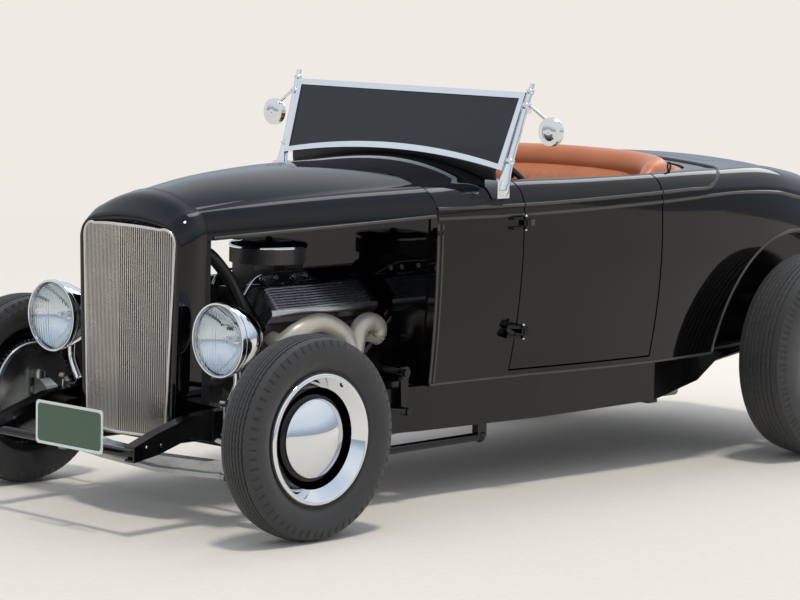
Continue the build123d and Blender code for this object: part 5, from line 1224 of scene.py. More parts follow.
@dataclass
class GrilleNose:
    """Painted radiator shell with its insert of upright bars."""

    face: float = -0.134
    rear: float = -0.024
    bow: float = 0.046
    half_reach: float = 0.260
    bottom: float = 0.274
    low_half: float = 0.196
    mid_half: float = 0.230
    top: float = 0.962
    corner: float = 0.060
    pitch: float = 0.0086
    side_rows: int = 30
    shell_half: float = 0.226
    shell_low: float = 0.262
    shell_stations: tuple[float, float, float] = (-0.134, -0.094, -0.024)
    stays: tuple[tuple[float, float], ...] = ((0.430, 0.208), (0.620, 0.222), (0.800, 0.220))

    def loop(self, points: Sequence[tuple[Sequence[float], Sequence[float], Sequence[float]]],
             low: Sequence[float]) -> np.ndarray:
        """Left half of an outline: a straight side, a corner arc and the top to the middle.

        Args:
            points: start, way and end of the corner arc, then of the top.
            low: lowest point of the side.

        Returns:
            Points from the bottom to the top's middle, as (x, z).
        """
        side = np.linspace(low, points[0][0], self.side_rows)
        return np.concatenate([side, arc_points(*points[0], 14)[1:], arc_points(*points[1], 24)[1:13]])

    def inner(self, grow: float = 0.0) -> np.ndarray:
        """Left half of the insert's outline: a slanted side, a small corner arc and a low crown.

        Args:
            grow: distance that it is grown all round.

        Returns:
            Points as (x, z).
        """
        side, top, corner = self.mid_half - 0.004 + grow, self.top + grow, self.corner
        turn = (side - corner * 0.26, top - corner * 0.26)
        return self.loop((((side, top - corner), turn, (side - corner, top - 0.008)),
                          ((side - corner, top - 0.008), (0.0, top), (corner - side, top - 0.008))),
                         (self.low_half + grow, self.bottom - grow))

    def outer(self, station: float) -> np.ndarray:
        """Left half of the shell's outline, smoothed between three sections.

        Args:
            station: place along the car.

        Returns:
            Points as (x, z).
        """
        rows = np.array([(0.246, 0.900, 0.176, 0.972, 0.990), (0.256, 0.915, 0.190, 1.000, 1.040),
                         (0.250, 0.930, 0.200, 1.012, 1.068)])
        half, z_side, x_turn, z_turn, crown = cubic(self.shell_stations, rows, np.array([station]))[0]
        turn = (half * 0.70 + x_turn * 0.30, z_side * 0.34 + z_turn * 0.66)
        return self.loop((((half, z_side), turn, (x_turn, z_turn)),
                          ((x_turn, z_turn), (0.0, crown), (-x_turn, z_turn))),
                         (self.shell_half, self.shell_low))

    def shell(self) -> None:
        """Build the shell: rings of points go from the opening round the nose and back to the hood."""
        inside = self.inner(0.0008)
        rings = [(inside, self.face + 0.030)]
        start = self.outer(self.face)
        for turn in np.linspace(0, math.pi / 2, 9):
            share, lift = 1 - math.cos(turn), 0.010 * math.sin(turn)
            depth = self.face + 0.006 - lift * math.cos(turn * 0.6)
            rings.append((inside * (1 - share) + start * share, depth))
        rings += [(self.outer(s), s) for s in np.linspace(self.face + 0.008, self.rear - 0.0005, 14)]
        points = np.stack([np.column_stack([xz[:, 0], np.full(len(xz), at(s)), xz[:, 1]])
                           for xz, s in rings])
        piece = Piece("grille_shell_skin").mirrored(points.transpose(1, 0, 2), flip=True)
        across = np.linspace(-self.shell_half, self.shell_half, 25)
        lines = ((self.face + 0.004, 0.012), (self.face - 0.002, 0.004), (self.face + 0.006, 0.0),
                 (self.rear, 0.0))
        apron = np.stack([np.stack([across, np.full(25, at(s)), np.full(25, self.shell_low + z)], -1)
                          for s, z in lines])
        piece.grid(apron)
        piece.build(BLACK_PAINT, closed=False, solid=0.004, bevel=0.0012, replaces=["grille_shell"],
                    smooth=50)

    def bars(self) -> None:
        """Build the insert: bars with rounded fronts at an even pitch, on the bowed plan, in a rim."""
        outline = self.inner(-0.006)
        count = int((self.mid_half - 0.012) / self.pitch)
        x = np.arange(-count, count + 1) * self.pitch
        side, top = outline[:self.side_rows], outline[self.side_rows:][::-1]
        high = np.interp(abs(x), top[:, 0], top[:, 1])
        low = np.where(abs(x) <= self.low_half - 0.006, self.bottom + 0.006,
                       np.interp(abs(x), side[:, 0], side[:, 1]))
        y = at(self.face - self.bow * (1 - abs(x) / self.half_reach))
        section = np.array([(-0.0015, 0.0105), (-0.0015, 0.003), (-0.0009, 0.0008), (0.0, 0.0),
                            (0.0009, 0.0008), (0.0015, 0.003), (0.0015, 0.0105)])
        piece = Piece("grille_bars")
        for k in range(len(x)):
            ring = np.column_stack([x[k] + section[:, 0], y[k] + section[:, 1]])
            piece.grid(layers([(ring, low[k]), (ring, high[k])]), wrap_columns=True)
        piece.build(STAINLESS, replaces=["grille_insert"], smooth=50)
        rim = Piece("grille_rim")
        half = self.inner(-0.003)
        path = np.concatenate([half, (half * np.array([-1, 1]))[::-1][1:]])
        x, z = self.low_half - 0.003, self.bottom + 0.003
        path = np.concatenate([path, np.linspace((-x, z), (x, z), 15)[1:-1]])
        depth = at(self.face - self.bow * (1 - abs(path[:, 0]) / self.half_reach))
        line = np.column_stack([path[:, 0], depth + 0.004, path[:, 1]])
        line = np.concatenate([line, line[:2]])
        rim.tube(line, 0.0052, 12, up=AFT)
        for z, half_width in self.stays:
            xs = np.linspace(-half_width, half_width, 21)
            back = at(self.face + 0.0105 - self.bow * (1 - abs(xs) / self.half_reach))
            rim.tube(np.column_stack([xs, back, np.full(21, z)]), 0.0022, 8)
        rim.build(STAINLESS)

    def build(self) -> None:
        """Build shell and insert."""
        self.shell()
        self.bars()


@dataclass
class Lamps:
    """Headlamps with fluted lenses, silvered bowls and stands, and the tail lamps' rims."""

    x: float = 0.415
    station: float = -0.113
    height: float = 0.616
    radius: float = 0.122
    depth: float = 0.165
    lens_radius: float = 0.1135
    lens_steps: int = 144
    flutes: int = 34

    def lens_points(self, sign: float) -> np.ndarray:
        """Domed front of the lens: a parabola of the radius with upright flutes, a cosine of x.

        Args:
            sign: 1 on the left and -1 on the right.

        Returns:
            Rings by steps by three.
        """
        radii = np.linspace(0, self.lens_radius, 30)[:, None]
        turn = np.arange(self.lens_steps)[None, :] * TAU / self.lens_steps
        px, pz = radii * np.cos(turn), radii * np.sin(turn)
        dome = -0.006 - 0.014 * (1 - (radii / self.lens_radius) ** 2) + 0 * turn
        fade = np.clip((0.108 - radii) / 0.01, 0, 1)
        wave = 0.0007 * np.cos(px / self.lens_radius * self.flutes * math.pi / 2) * fade
        return np.stack([sign * self.x + px, at(self.station) + dome + wave, self.height + pz], -1)

    def head(self, name: str, sign: float) -> None:
        """Build one headlamp.

        Args:
            name: side of the car.
            sign: 1 on the left and -1 on the right.
        """
        centre, back = (sign * self.x, at(self.station), self.height), AFT
        r, d, stand = self.radius, self.depth, at(-0.033)
        bowl_end = (d - 0.010, 0.036)
        bucket = np.concatenate([[(0.004, r - 0.010)],
                                 arc_points((0.020, r - 0.006), (0.100, r - 0.034), bowl_end, 22),
                                 arc_points(bowl_end, (d - 0.002, 0.020), (d, 0.0), 8)])
        shell = Piece(f"lamp_bucket_{name}").turned(bucket, centre, back, 96)
        shell.tube([(sign * (self.x - 0.002), stand, self.height - r + 0.030),
                    (sign * (self.x - 0.006), stand, 0.462), (sign * 0.372, stand, 0.398),
                    (sign * 0.362, stand, 0.390)], [0.013, 0.011, 0.012, 0.020], 16, smooth=6, up=AFT)
        shell.build(CHROME, smooth=50, replaces=["headlamps"] if sign > 0 else [])
        bezel = np.array([(-0.006, r - 0.0105), (-0.0095, r - 0.007), (-0.009, r - 0.002), (-0.004, r),
                          (0.006, r), (0.013, r - 0.003), (0.016, r - 0.008), (0.010, r - 0.012),
                          (0.0, r - 0.012)])
        ring = Piece(f"lamp_bezel_{name}").turned(bezel, centre, back, 128, wrap=True)
        ring.build(CHROME, smooth=60)
        angle = np.linspace(0, 1, 24)
        bowl = np.stack([0.070 - 0.064 * angle ** 2, 0.012 + (r - 0.026) * angle], -1)
        mirror = Piece(f"lamp_reflector_{name}").turned(bowl, centre, back, 96)
        bulb = np.array([(0.022, 0.0), (0.024, 0.008), (0.036, 0.012), (0.050, 0.009), (0.072, 0.010)])
        mirror.turned(bulb, centre, back, 24)
        mirror.build(CHROME, closed=False, smooth=60)
        lens = Piece(f"lamp_lens_{name}").grid(self.lens_points(sign), wrap_columns=True)
        lens.build(LAMP_GLASS, closed=False, solid=0.003, smooth=80,
                   replaces=["headlamp_lenses"] if sign > 0 else [])

    def build(self) -> None:
        """Build both headlamps and the tail lamps' rims."""
        for name, sign in SIDES:
            self.head(name, sign)
        rim = np.array([(0.0005, 0.026), (0.0005, 0.0315), (0.010, 0.0335), (0.018, 0.0325),
                        (0.0205, 0.0285), (0.012, 0.0290)])
        for name, sign in SIDES:
            tail = Piece(f"tail_lamp_rim_{name}")
            tail.turned(rim, (sign * 0.300, at(Bodywork.tail), 0.610), AFT, 64, wrap=True)
            tail.build(CHROME, smooth=60)


@dataclass(frozen=True)
class Pad:
    """Place and size of one stuffed pad of the seat."""

    name: str
    node: str
    station: float
    height: float
    lean: float
    half_thick: float
    half_high: float
    squareness: float


CUSHION = Pad("pleated_cushion", "seat_cushion", 1.645, 0.558, math.radians(84), 0.070, 0.200, 5.0)
BACKREST = Pad("pleated_back", "seat_back", 2.018, 0.790, math.radians(17), 0.072, 0.310, 4.0)
# Middle line of the roll on top of the backrest, from the left to the car's middle: x, station, height
# and radius
TOP_ROLL = ((0.452, 1.920, 1.050, 0.016), (0.448, 1.985, 1.066, 0.044), (0.412, 2.052, 1.076, 0.055),
            (0.310, 2.090, 1.082, 0.058), (0.150, 2.102, 1.085, 0.060), (0.0, 2.104, 1.086, 0.060))


@dataclass
class Cabin:
    """Seat, trim rolls, linings and dash instruments."""

    seat_half: float = 0.480
    pleats: int = 18
    pleat_depth: float = 0.009
    crown: float = 0.012
    cell: float = 0.0105
    cap: float = 0.012
    pressure: float = 4.0
    frames: int = 20
    roll_radius: float = 0.021
    door_roll: tuple[float, float] = (1.185, 1.867)
    rear_roll: tuple[float, float] = (1.880, 2.1995)
    door_sunk: tuple[float, float] = (0.030, 0.034)
    rear_sunk: tuple[float, float] = (0.022, 0.024)
    gauges_place: tuple[float, float] = (1.138, 0.985)
    gauge_rows: tuple[tuple[float, float], ...] = (
        (-0.150, 0.028), (-0.078, 0.028), (0.0, 0.042), (0.078, 0.028), (0.150, 0.028))

    def pillow(self, pad: Pad) -> bpy.types.Object:
        """Make a long stuffed form: a rounded outline goes across the car and draws in at both ends.

        The outline is a superellipse of the angle, a little fuller on its face in the car's middle.

        Args:
            pad: place and size of the form.

        Returns:
            The padded piece.
        """
        across = np.sin(np.linspace(-math.pi / 2, math.pi / 2, 240))
        angle = np.arange(120) * TAU / 120
        round_cos, round_sin = (np.sign(f) * abs(f) ** (2 / pad.squareness)
                                for f in (np.cos(angle), np.sin(angle)))
        draw = (1 - abs(across) ** 14) ** (1 / 4)
        crown = self.crown * np.cos(across * math.pi / 2) / min(pad.half_thick, pad.half_high)
        grow = 1 + crown[:, None] * np.clip(0.5 - np.cos(angle), 0, 1)[None, :]
        thick = pad.half_thick * round_cos[None, :] * grow * draw[:, None]
        high = pad.half_high * round_sin[None, :] * (0.25 + 0.75 * draw[:, None])
        s = pad.station + thick * math.cos(pad.lean) + high * math.sin(pad.lean)
        z = pad.height - thick * math.sin(pad.lean) + high * math.cos(pad.lean)
        points = np.stack([np.broadcast_to(self.seat_half * across[:, None], s.shape), at(s), z], -1)
        form = Piece(pad.name).grid(points, wrap_columns=True)
        for end in (0, -1):
            cap = np.stack([points[end], np.broadcast_to(points[end].mean(0), points[end].shape)])
            form.grid(cap, wrap_columns=True)
        piece = form.build(LEATHER, smooth=70, replaces=[pad.node])
        self.stuff(piece)
        self.sew(piece, pad)
        return piece

    def stuff(self, piece: bpy.types.Object) -> None:
        """Swell a closed form as a cover round its stuffing, by a cloth simulation under pressure.

        The form is remeshed to even cells and blown up for some frames with no gravity, and no point may
        move further than the cap.

        Args:
            piece: the padded piece, whose mesh is taken over.
        """
        scene = bpy.context.scene
        cover = bpy.data.objects.new("cover", piece.data.copy())
        scene.collection.objects.link(cover)
        even = cover.modifiers.new("even", "REMESH")
        even.mode, even.voxel_size = "VOXEL", self.cell
        cells = cover.evaluated_get(bpy.context.evaluated_depsgraph_get())
        cover.data = bpy.data.meshes.new_from_object(cells)
        cover.modifiers.clear()
        rest = np.empty(len(cover.data.vertices) * 3)
        cover.data.vertices.foreach_get("co", rest)
        cloth = cover.modifiers.new("cloth", "CLOTH")
        cloth.settings.use_pressure = True
        cloth.settings.uniform_pressure_force = self.pressure
        cloth.settings.effector_weights.gravity = 0.0
        for number in range(1, self.frames + 1):
            scene.frame_set(number)
        full = cover.evaluated_get(bpy.context.evaluated_depsgraph_get())
        swollen = bpy.data.meshes.new_from_object(full)
        moved = np.empty_like(rest)
        swollen.vertices.foreach_get("co", moved)
        step = (moved - rest).reshape(-1, 3)
        reach = np.linalg.norm(step, axis=1, keepdims=True)
        step *= np.minimum(1.0, self.cap / np.maximum(reach, TINY))
        swollen.vertices.foreach_set("co", (rest.reshape(-1, 3) + step).ravel())
        scene.frame_set(1)
        bpy.data.objects.remove(cover)
        finer = bmesh.new()
        finer.from_mesh(swollen)
        bmesh.ops.subdivide_edges(finer, edges=finer.edges, cuts=1, use_grid_fill=True, smooth=0.6)
        finer.to_mesh(swollen)
        finer.free()
        swollen.materials.clear()
        swollen.materials.append(LEATHER.build())
        swollen.polygons.foreach_set("use_smooth", np.ones(len(swollen.polygons), bool))
        piece.data = swollen
        LOG.info("%s stuffed, moved up to %.1f mm", piece.name, 1000 * min(self.cap, float(reach.max())))

    def sew(self, piece: bpy.types.Object, pad: Pad) -> None:
        """Press the sewn channels into a pad: each point moves inwards along its normal.

        The depth is a rounded wave across the car. It is full on the pad's face and fades out before the
        pad's far end, where the stuffing rolls over.

        Args:
            piece: the padded piece.
            pad: its place and size.
        """
        count = len(piece.data.vertices)
        flat, facing = np.empty(count * 3), np.empty(count * 3)
        piece.data.vertices.foreach_get("co", flat)
        piece.data.vertex_normals.foreach_get("vector", facing)
        points, facing = flat.reshape(-1, 3), facing.reshape(-1, 3)
        s, z = points[:, 1] - at(pad.station), points[:, 2] - pad.height
        along = (s * math.sin(pad.lean) + z * math.cos(pad.lean)) / pad.half_high
        front = -(facing[:, 1] * math.cos(pad.lean) - facing[:, 2] * math.sin(pad.lean))
        wave = abs(np.sin(points[:, 0] / self.seat_half * self.pleats * math.pi / 2))
        depth = self.pleat_depth * (1 - wave ** 0.5) * (abs(points[:, 0]) < 0.93 * self.seat_half)
        depth = depth * np.clip(front * 1.6, 0, 1) * np.clip((0.78 - along) / 0.12, 0, 1)
        piece.data.vertices.foreach_set("co", (points - facing * depth[:, None]).ravel())
        piece.data.update()

    def seat(self) -> None:
        """Build the pleated bench cushion, its back and the roll on top."""
        self.pillow(CUSHION)
        self.pillow(BACKREST)
        half = [(x, at(s), z, thick) for x, s, z, thick in TOP_ROLL]
        whole = half + [(-x, y, z, thick) for x, y, z, thick in half[-2::-1]]
        line, thick = [row[:3] for row in whole], [row[3] for row in whole]
        roll = Piece("seat_top_roll").tube(line, thick, 40, smooth=9)
        roll.build(LEATHER, smooth=70)

    def coaming(self) -> None:
        """Lay the stuffed leather roll round the inside of the opening."""
        line = self.opening_edge(np.linspace(*self.door_roll, 40), *self.door_sunk)
        for side, sign in SIDES:
            roll = Piece(f"door_roll_{side}").tube(line * np.array([sign, 1, 1]), self.roll_radius, 20)
            roll.build(LEATHER, f"door_{side}", smooth=70)
        turned = Bodywork.corner_start + Bodywork.corner * np.sin(np.linspace(0, math.pi / 2, 14))
        straight = np.linspace(self.rear_roll[0], Bodywork.corner_start, 12)[:-1]
        line = self.opening_edge(np.concatenate([straight, turned]), *self.rear_sunk)
        across = np.linspace(line[-1], line[-1] * MIRROR, 30)
        across[:, 2] += 0.012 * np.sin(np.linspace(0, math.pi, 30))
        whole = np.concatenate([line[:-1], across, (line * MIRROR)[::-1][1:]])
        roll = Piece("rear_roll").tube(whole, self.roll_radius, 20)
        roll.build(LEATHER, smooth=70)

    def opening_edge(self, s: np.ndarray, inset: float, drop: float) -> np.ndarray:
        """Line along the left edge of the opening, moved into the cockpit and down.

        Args:
            s: stations.
            inset: distance square to the edge.
            drop: distance down.

        Returns:
            Points of the line.
        """
        half = Bodywork().opening_half(np.minimum(s, self.rear_roll[1]))
        line = BODY.points(s, BODY.v_at_x(s, half))
        inward = np.cross(np.gradient(line, axis=0), UP)
        inward /= np.linalg.norm(inward, axis=1, keepdims=True)
        inward *= np.where(inward[:, :1] > 0, -1, 1)
        return line + inward * inset - np.array([0, 0, drop])

    def linings(self) -> None:
        """Line the quarters with leather panels."""
        work, low, half = Bodywork(), 0.50, 0.545
        s = np.linspace(work.door_rear + 0.008, work.corner_end, 16)
        v = work.rows(s, BODY.v_at_z(s, np.full(len(s), low)), BODY.v_at_x(s, np.full(len(s), half)))
        panel = BODY.points(s, v)
        panel = panel - normals_of(panel) * (work.wall + work.air)
        Piece("quarter_linings").mirrored(panel).build(LEATHER, closed=False, solid=0.008, bevel=0.002)

    def gauges(self) -> None:
        """Set round instruments with bright bezels into the dash."""
        bezels, faces = Piece("gauge_bezels"), Piece("gauge_faces")
        station, height = self.gauges_place
        for x, r in self.gauge_rows:
            centre = (x, at(station), height)
            bezel = np.array([(0.0, r), (0.004, r + 0.004), (0.008, r + 0.002), (0.009, r - 0.002),
                              (0.004, r - 0.003)])
            bezels.turned(bezel, centre, AFT, 48, wrap=True)
            faces.turned(np.array([(0.003, 0.0), (0.003, r)]), centre, AFT, 48)
        bezels.build(CHROME, smooth=60)
        faces.build(DIAL, closed=False)

    def build(self) -> None:
        """Build the cabin's soft goods and instruments."""
        self.seat()
        self.coaming()
        self.linings()
        self.gauges()


# Middle lines of the engine's left pipes: x, station and height of their points
PORT_X, LOG_X, OUTLET_S = 0.214, 0.300, 0.598
FRONT_HORN = ((PORT_X, 0.304, 0.572), (0.270, 0.302, 0.566), (LOG_X, 0.345, 0.600), (LOG_X, 0.446, 0.622),
              (LOG_X, 0.540, 0.590), (LOG_X, 0.584, 0.540), (LOG_X + 0.004, OUTLET_S, 0.462))
REAR_HORN = ((PORT_X, 0.692, 0.572), (0.262, 0.706, 0.552), (0.294, 0.728, 0.556), (LOG_X, 0.722, 0.592),
             (LOG_X, 0.676, 0.608), (LOG_X, 0.630, 0.576), (LOG_X + 0.004, OUTLET_S + 0.004, 0.470))
MIDDLE_HORN = ((PORT_X, 0.510, 0.566), (0.266, 0.530, 0.556), (LOG_X - 0.006, 0.578, 0.522))
HORN_RADII = (0.026, 0.028, 0.030, 0.032, 0.032, 0.033, 0.034)
DOWN_PIPE = ((LOG_X + 0.002, OUTLET_S, 0.500), (0.318, 0.600, 0.420), (0.336, 0.602, 0.330),
             (0.334, 0.620, 0.256), (0.316, 0.690, 0.226), (0.290, 0.800, 0.225), (0.270, 0.900, 0.225),
             (0.268, 1.200, 0.225), (0.268, 2.340, 0.225))
FUEL_LINE = ((0.084, 0.300, 0.700), (0.090, 0.345, 0.760), (0.088, 0.420, 0.772), (0.088, 0.560, 0.772),
             (0.070, 0.640, 0.740))
THROTTLE_ROD = ((0.060, 0.330, 0.735), (0.062, 0.500, 0.728), (0.060, 0.660, 0.735))


def placed(path: Sequence[Sequence[float]], sign: float = 1.0) -> list[tuple[float, float, float]]:
    """Place a middle line of (x, station, height) points in the car, with sign -1 on the right."""
    return [(sign * x, at(s), z) for x, s, z in path]


@dataclass
class Engine:
    """Air cleaner, fuel lines, hoses and exhaust manifolds of the open engine."""

    cleaner_radius: float = 0.132
    cleaner_base: float = 0.800
    cleaner_top: float = 0.864
    cleaner_pleats: int = 160
    carburettor_station: float = 0.490
    filters: tuple[float, ...] = (0.392, 0.448, 0.532, 0.588)
    hose_x: float = 0.130
    hose_radius: float = 0.021

    def cleaner(self) -> None:
        """Cap the cleaner with a rolled bright lid and wrap it in a pleated element."""
        y, r = at(self.carburettor_station), self.cleaner_radius + 0.003
        lid = np.array([(-0.012, r - 0.004), (-0.012, r), (-0.004, r + 0.001), (0.003, r - 0.004),
                        (0.006, r - 0.014), (0.007, r - 0.040), (0.010, r - 0.044), (0.011, r - 0.052),
                        (0.008, 0.060), (0.009, 0.020), (0.012, 0.014), (0.020, 0.012), (0.022, 0.006),
                        (0.022, 0.0)])
        cover = Piece("cleaner_lid").turned(lid, (0.0, y, self.cleaner_top), UP, 96)
        cover.build(CHROME, smooth=60, closed=False)
        steps = np.arange(self.cleaner_pleats * 2)
        turn, pleat = steps * TAU / len(steps), 0.003
        wave = self.cleaner_radius + 0.0006 - pleat + pleat * (steps % 2)
        ring = np.stack([wave * np.cos(turn), y + wave * np.sin(turn)], -1)
        element = Piece("cleaner_element")
        element.grid(layers([(ring, self.cleaner_base), (ring, self.cleaner_top)]), wrap_columns=True)
        element.build(ENGINE_ENAMEL, smooth=10, closed=False)

    def pipes(self) -> None:
        """Run the hard fuel lines with their filters, the throttle rod and the radiator's hoses."""
        rods = Piece("fuel_lines")
        for sign in (1.0, -1.0):
            rods.tube(placed(FUEL_LINE, sign), 0.0045, 10, smooth=6)
        cup = np.array([(0.0, 0.0), (0.0, 0.011), (0.010, 0.012), (0.014, 0.009), (0.014, 0.0)])
        for s in self.filters:
            for sign in (1.0, -1.0):
                rods.turned(cup, (sign * 0.074, at(s), 0.752), (sign, 0.0, 0.25), 20)
        rods.tube(placed(THROTTLE_ROD), 0.004, 10)
        rods.build(CHROME, smooth=50)
        hoses, clamps = Piece("radiator_hoses"), Piece("hose_clamps")
        rear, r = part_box("radiator")[1][1] - 0.002, self.hose_radius
        band = np.array([(-0.006, r + 0.0002), (-0.006, r + 0.0016), (0.006, r + 0.0016),
                         (0.006, r + 0.0002)])
        for sign in (1.0, -1.0):
            stub = [(sign * self.hose_x, rear, 0.862), (sign * 0.132, rear + 0.050, 0.856)]
            bend = placed(((0.145, 0.170, 0.778), (0.157, 0.222, 0.682), (0.160, 0.252, 0.640)), sign)
            hoses.tube(stub + bend, r, 20, smooth=6)
            clamps.turned(band, (sign * self.hose_x, rear + 0.016, 0.861), (0, 1, -0.08), 40, wrap=True)
        hoses.build(BLACK_RUBBER, smooth=60)
        clamps.build(CHROME, smooth=50)

    def manifolds(self) -> None:
        """Cast the ram's horn manifolds as thick smooth arches, with the pipes that run back from them.

        Each arch is a circle carried along a cubic through a few points, fattest at the crown.
        """
        horns = Piece("ram_horn_manifolds")
        tail = np.array([(-0.002, 0.0195), (0.040, 0.0195), (0.041, 0.0208), (0.040, 0.022), (-0.002, 0.022)])
        flange = np.array([(-0.006, 0.020), (-0.006, 0.046), (0.006, 0.046), (0.006, 0.020)])
        rows = ((FRONT_HORN, HORN_RADII, 7), (REAR_HORN, HORN_RADII, 7), (MIDDLE_HORN, 0.024, 6),
                (DOWN_PIPE, 0.022, 5))
        end_x, end_s, end_z = DOWN_PIPE[-1]
        for sign in (1.0, -1.0):
            for path, size, extra in rows:
                horns.tube(placed(path, sign), size, 24, smooth=extra, up=(0.31, 0.21, 0.93))
            horns.turned(tail, (sign * end_x, at(end_s), end_z), AFT, 32, wrap=True)
            joint = (sign * (LOG_X + 0.006), at(OUTLET_S + 0.001), 0.470)
            horns.turned(flange, joint, (0.1, 0, -1), 40, wrap=True)
        horns.build(CERAMIC_COAT, smooth=60, replaces=["exhaust"])

    def build(self) -> None:
        """Build the engine's detail."""
        self.cleaner()
        self.pipes()
        self.manifolds()


@dataclass
class Windshield:
    """Cast posts with swivels, the plated mirrors' backs and the gasket under the frame."""

    foot: tuple[float, float, float] = (0.546, 1.062, 1.040)
    top: tuple[float, float, float] = (0.574, 1.182, 1.420)
    knobs: tuple[tuple[float, float], ...] = ((0.30, 0.017), (0.80, 0.016), (0.93, 0.014))
    mirror: tuple[float, float, float] = (0.681, 1.170, 1.262)
    rail_half: float = 0.538
    rail_rise: float = 0.046
    rail: tuple[float, float] = (1.078, 1.122)
    gasket_half: float = 0.498

    def posts(self) -> None:
        """Build each post as a bar that widens to its cast foot, with clamp knobs on it."""
        piece = Piece("cast_posts")
        for sign in (1.0, -1.0):
            a, b = (np.array([sign * p[0], at(p[1]), p[2]]) for p in (self.foot, self.top))
            share = np.array([0.0, 0.04, 0.10, 0.20, 0.34, 0.60, 0.90, 0.97, 1.0])
            radius = np.array([0.020, 0.024, 0.022, 0.016, 0.012, 0.0105, 0.0105, 0.008, 0.002])
            piece.tube(a + (b - a) * share[:, None], radius, 20, smooth=3)
            half_turn = np.linspace(math.pi, 0, 13)
            for part, size in self.knobs:
                ball = np.stack([size * np.cos(half_turn), size * np.sin(half_turn)], -1)
                piece.turned(ball, a + (b - a) * part, UP, 24)
        piece.build(CHROME, smooth=50)

    def mirrors(self) -> None:
        """Round the backs of the mirrors as plated cups."""
        piece = Piece("mirror_cups")
        lip = (0.012, 0.046)
        profile = np.concatenate([[(0.0, 0.0), (0.0, 0.044)],
                                  arc_points((-0.002, 0.048), (0.004, 0.0495), lip, 8),
                                  arc_points(lip, (0.022, 0.026), (0.024, 0.0), 12)])
        x, s, z = self.mirror
        for sign in (1.0, -1.0):
            piece.turned(profile * np.array([-1, 1]), (sign * x, at(s), z), AFT, 64)
        piece.build(CHROME, smooth=50)

    def gasket(self) -> None:
        """Close the gap under the frame: straight rows go from its arched lower rail down to the cowl."""
        lean = math.atan2(0.093, 0.266)
        rail = arc_points((-self.rail_half, 0.0), (0.0, self.rail_rise), (self.rail_half, 0.0), 81)
        rail = rail[abs(rail[:, 0]) < self.gasket_half]
        s, z = self.rail[0] + rail[:, 1] * math.sin(lean), self.rail[1] + rail[:, 1] * math.cos(lean)
        cowl = BODY.points(s, BODY.v_at_x(s, abs(rail[:, 0])))[..., 2] - 0.004
        heights = cowl + (z + 0.004 - cowl) * np.linspace(0, 1, 6)[:, None]
        stations = s + 0.010 * np.linspace(-1, 0, 6)[:, None] ** 2
        rows = np.stack([np.broadcast_to(rail[:, 0], heights.shape), at(stations), heights], -1)
        strip = Piece("windshield_gasket").grid(rows)
        strip.build(BLACK_RUBBER, closed=False, solid=0.008, smooth=60)

    def build(self) -> None:
        """Build posts, mirrors and gasket."""
        self.posts()
        self.mirrors()
        self.gasket()


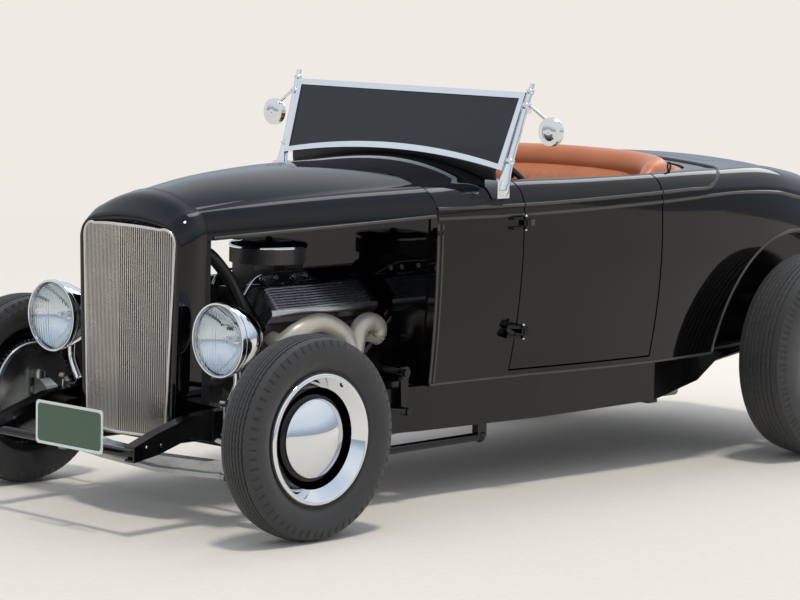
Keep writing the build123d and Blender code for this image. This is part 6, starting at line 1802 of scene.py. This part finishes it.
@dataclass
class Plate:
    """Blank plate: a green field in a raised cream rim with rounded corners."""

    middle: float = 0.095
    half: float = 0.165
    low: float = 0.262
    high: float = 0.403
    bend: float = 0.014
    arm_height: float = 0.270
    arm_end: float = -0.408

    def outline(self, inset: float) -> np.ndarray:
        """Rounded rectangle in the plate's plane: four quarter circles joined by straight sides.

        Args:
            inset: distance that it is drawn in.

        Returns:
            Loop of points.
        """
        w, h, r = self.half - inset, (self.high - self.low) / 2 - inset, self.bend
        corners = [(w - r, h - r, 0), (r - w, h - r, 1), (r - w, r - h, 2), (w - r, r - h, 3)]
        turn = np.linspace(0, math.pi / 2, 7)
        return np.concatenate([
            np.column_stack([x + r * np.cos(turn + k * math.pi / 2), z + r * np.sin(turn + k * math.pi / 2)])
            for x, z, k in corners])

    def build(self) -> None:
        """Build field, rim and the arm that carries them."""
        y0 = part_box("number_plate")[0][1]
        height = (self.low + self.high) / 2
        turn = Matrix(((1, 0, 0, self.middle), (0, 0, 1, y0), (0, 1, 0, height), (0, 0, 0, 1)))
        field_piece = Piece("plate_field").prism(self.outline(0.005), 0.0010, 0.0030, turn)
        field_piece.build(PLATE_GREEN, replaces=["number_plate"])
        outer, inner = self.outline(0.0), self.outline(0.009)
        rows = [(outer, 0.003), (outer, 0.0006), (outer * 0.996, 0.0), (inner * 1.02, 0.0),
                (inner, 0.0010), (inner, 0.003)]
        points = layers(rows) @ np.array(turn.to_3x3()).T + np.array(turn.translation)
        rim = Piece("plate_rim").grid(points, wrap_rows=True, wrap_columns=True)
        rim.build(PLATE_CREAM)
        arm = Piece("plate_arm")
        ends = (y0 + 0.004, at(self.arm_end) - 0.016)
        arm.tube([(self.middle, y, self.arm_height) for y in ends], 0.014, 12, flat=0.4)
        arm.build(FRAME_PAINT)


NODE_FINISHES: tuple[tuple[Finish, tuple[str, ...]], ...] = (
    (FRAME_PAINT, ("frame_rails", "gearbox_crossmember", "wishbones", "rear_links", "fuel_tank",
                   "rear_axle", "steering_column", "pitman_arm", "drag_link", "tie_rod")),
    (BLACK_PAINT, ("firewall", "dashboard")),
    (CARPET, ("floor_pan",)),
    (CORE, ("radiator",)),
    (AXLE_STEEL, ("front_axle", "front_spring", "knuckle_left", "knuckle_right", "front_shocks")),
    (ENGINE_ENAMEL, ("engine_block",)),
    (CAST_ALUMINIUM, ("valve_covers", "engine_front")),
    (ZINC_ALLOY, ("carburettors",)),
    (CHROME, ("windshield_frame", "mirrors")),
    # The windshield's near-black tint is partly smoke tint and partly a painted dark reflection
    (SMOKE_GLASS_AND_PAINTED_REFLECTION, ("windshield_glass",)),
    (BLACK_RUBBER, ("steering_wheel", "floor_controls")),
    (RUBY, ("tail_lamps",)),
)


def dress_nodes() -> None:
    """Give every node of the frame that stays in view its real material."""
    for finish, names in NODE_FINISHES:
        for name in names:
            mesh = frame["nodes"][name].data
            mesh.materials.clear()
            mesh.materials.append(finish.build())
            LOG.info("%s dressed as %s", name, finish.name)


def corners() -> list[Corner]:
    """List the four wheels, from their tyres' and drums' sizes.

    Returns:
        Front wheels, then rear wheels.
    """
    rows = (("front_left", 1.0, True), ("front_right", -1.0, True), ("rear_left", 1.0, False),
            ("rear_right", -1.0, False))
    front = (0.329, 0.146, 0.122, 0.114, 0.165, 0.056, True, 60, 0.040, 0.22)
    rear = (0.384, 0.206, 0.178, 0.165, 0.158, 0.056, False, 96, 0.048, 0.45)
    return [Corner(name, side, *(front if is_front else rear)) for name, side, is_front in rows]


def main() -> None:
    """Build the studio and every sub-assembly."""
    logging.basicConfig(level=logging.INFO, format="%(name)s: %(message)s")
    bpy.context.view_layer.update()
    Studio().build()
    dress_nodes()
    parts = [Bodywork(), GrilleNose(), Lamps(), Engine(), Windshield(), Cabin(), Plate(), *corners()]
    for part in parts:
        part.build()


if __name__ == "__main__":
    main()
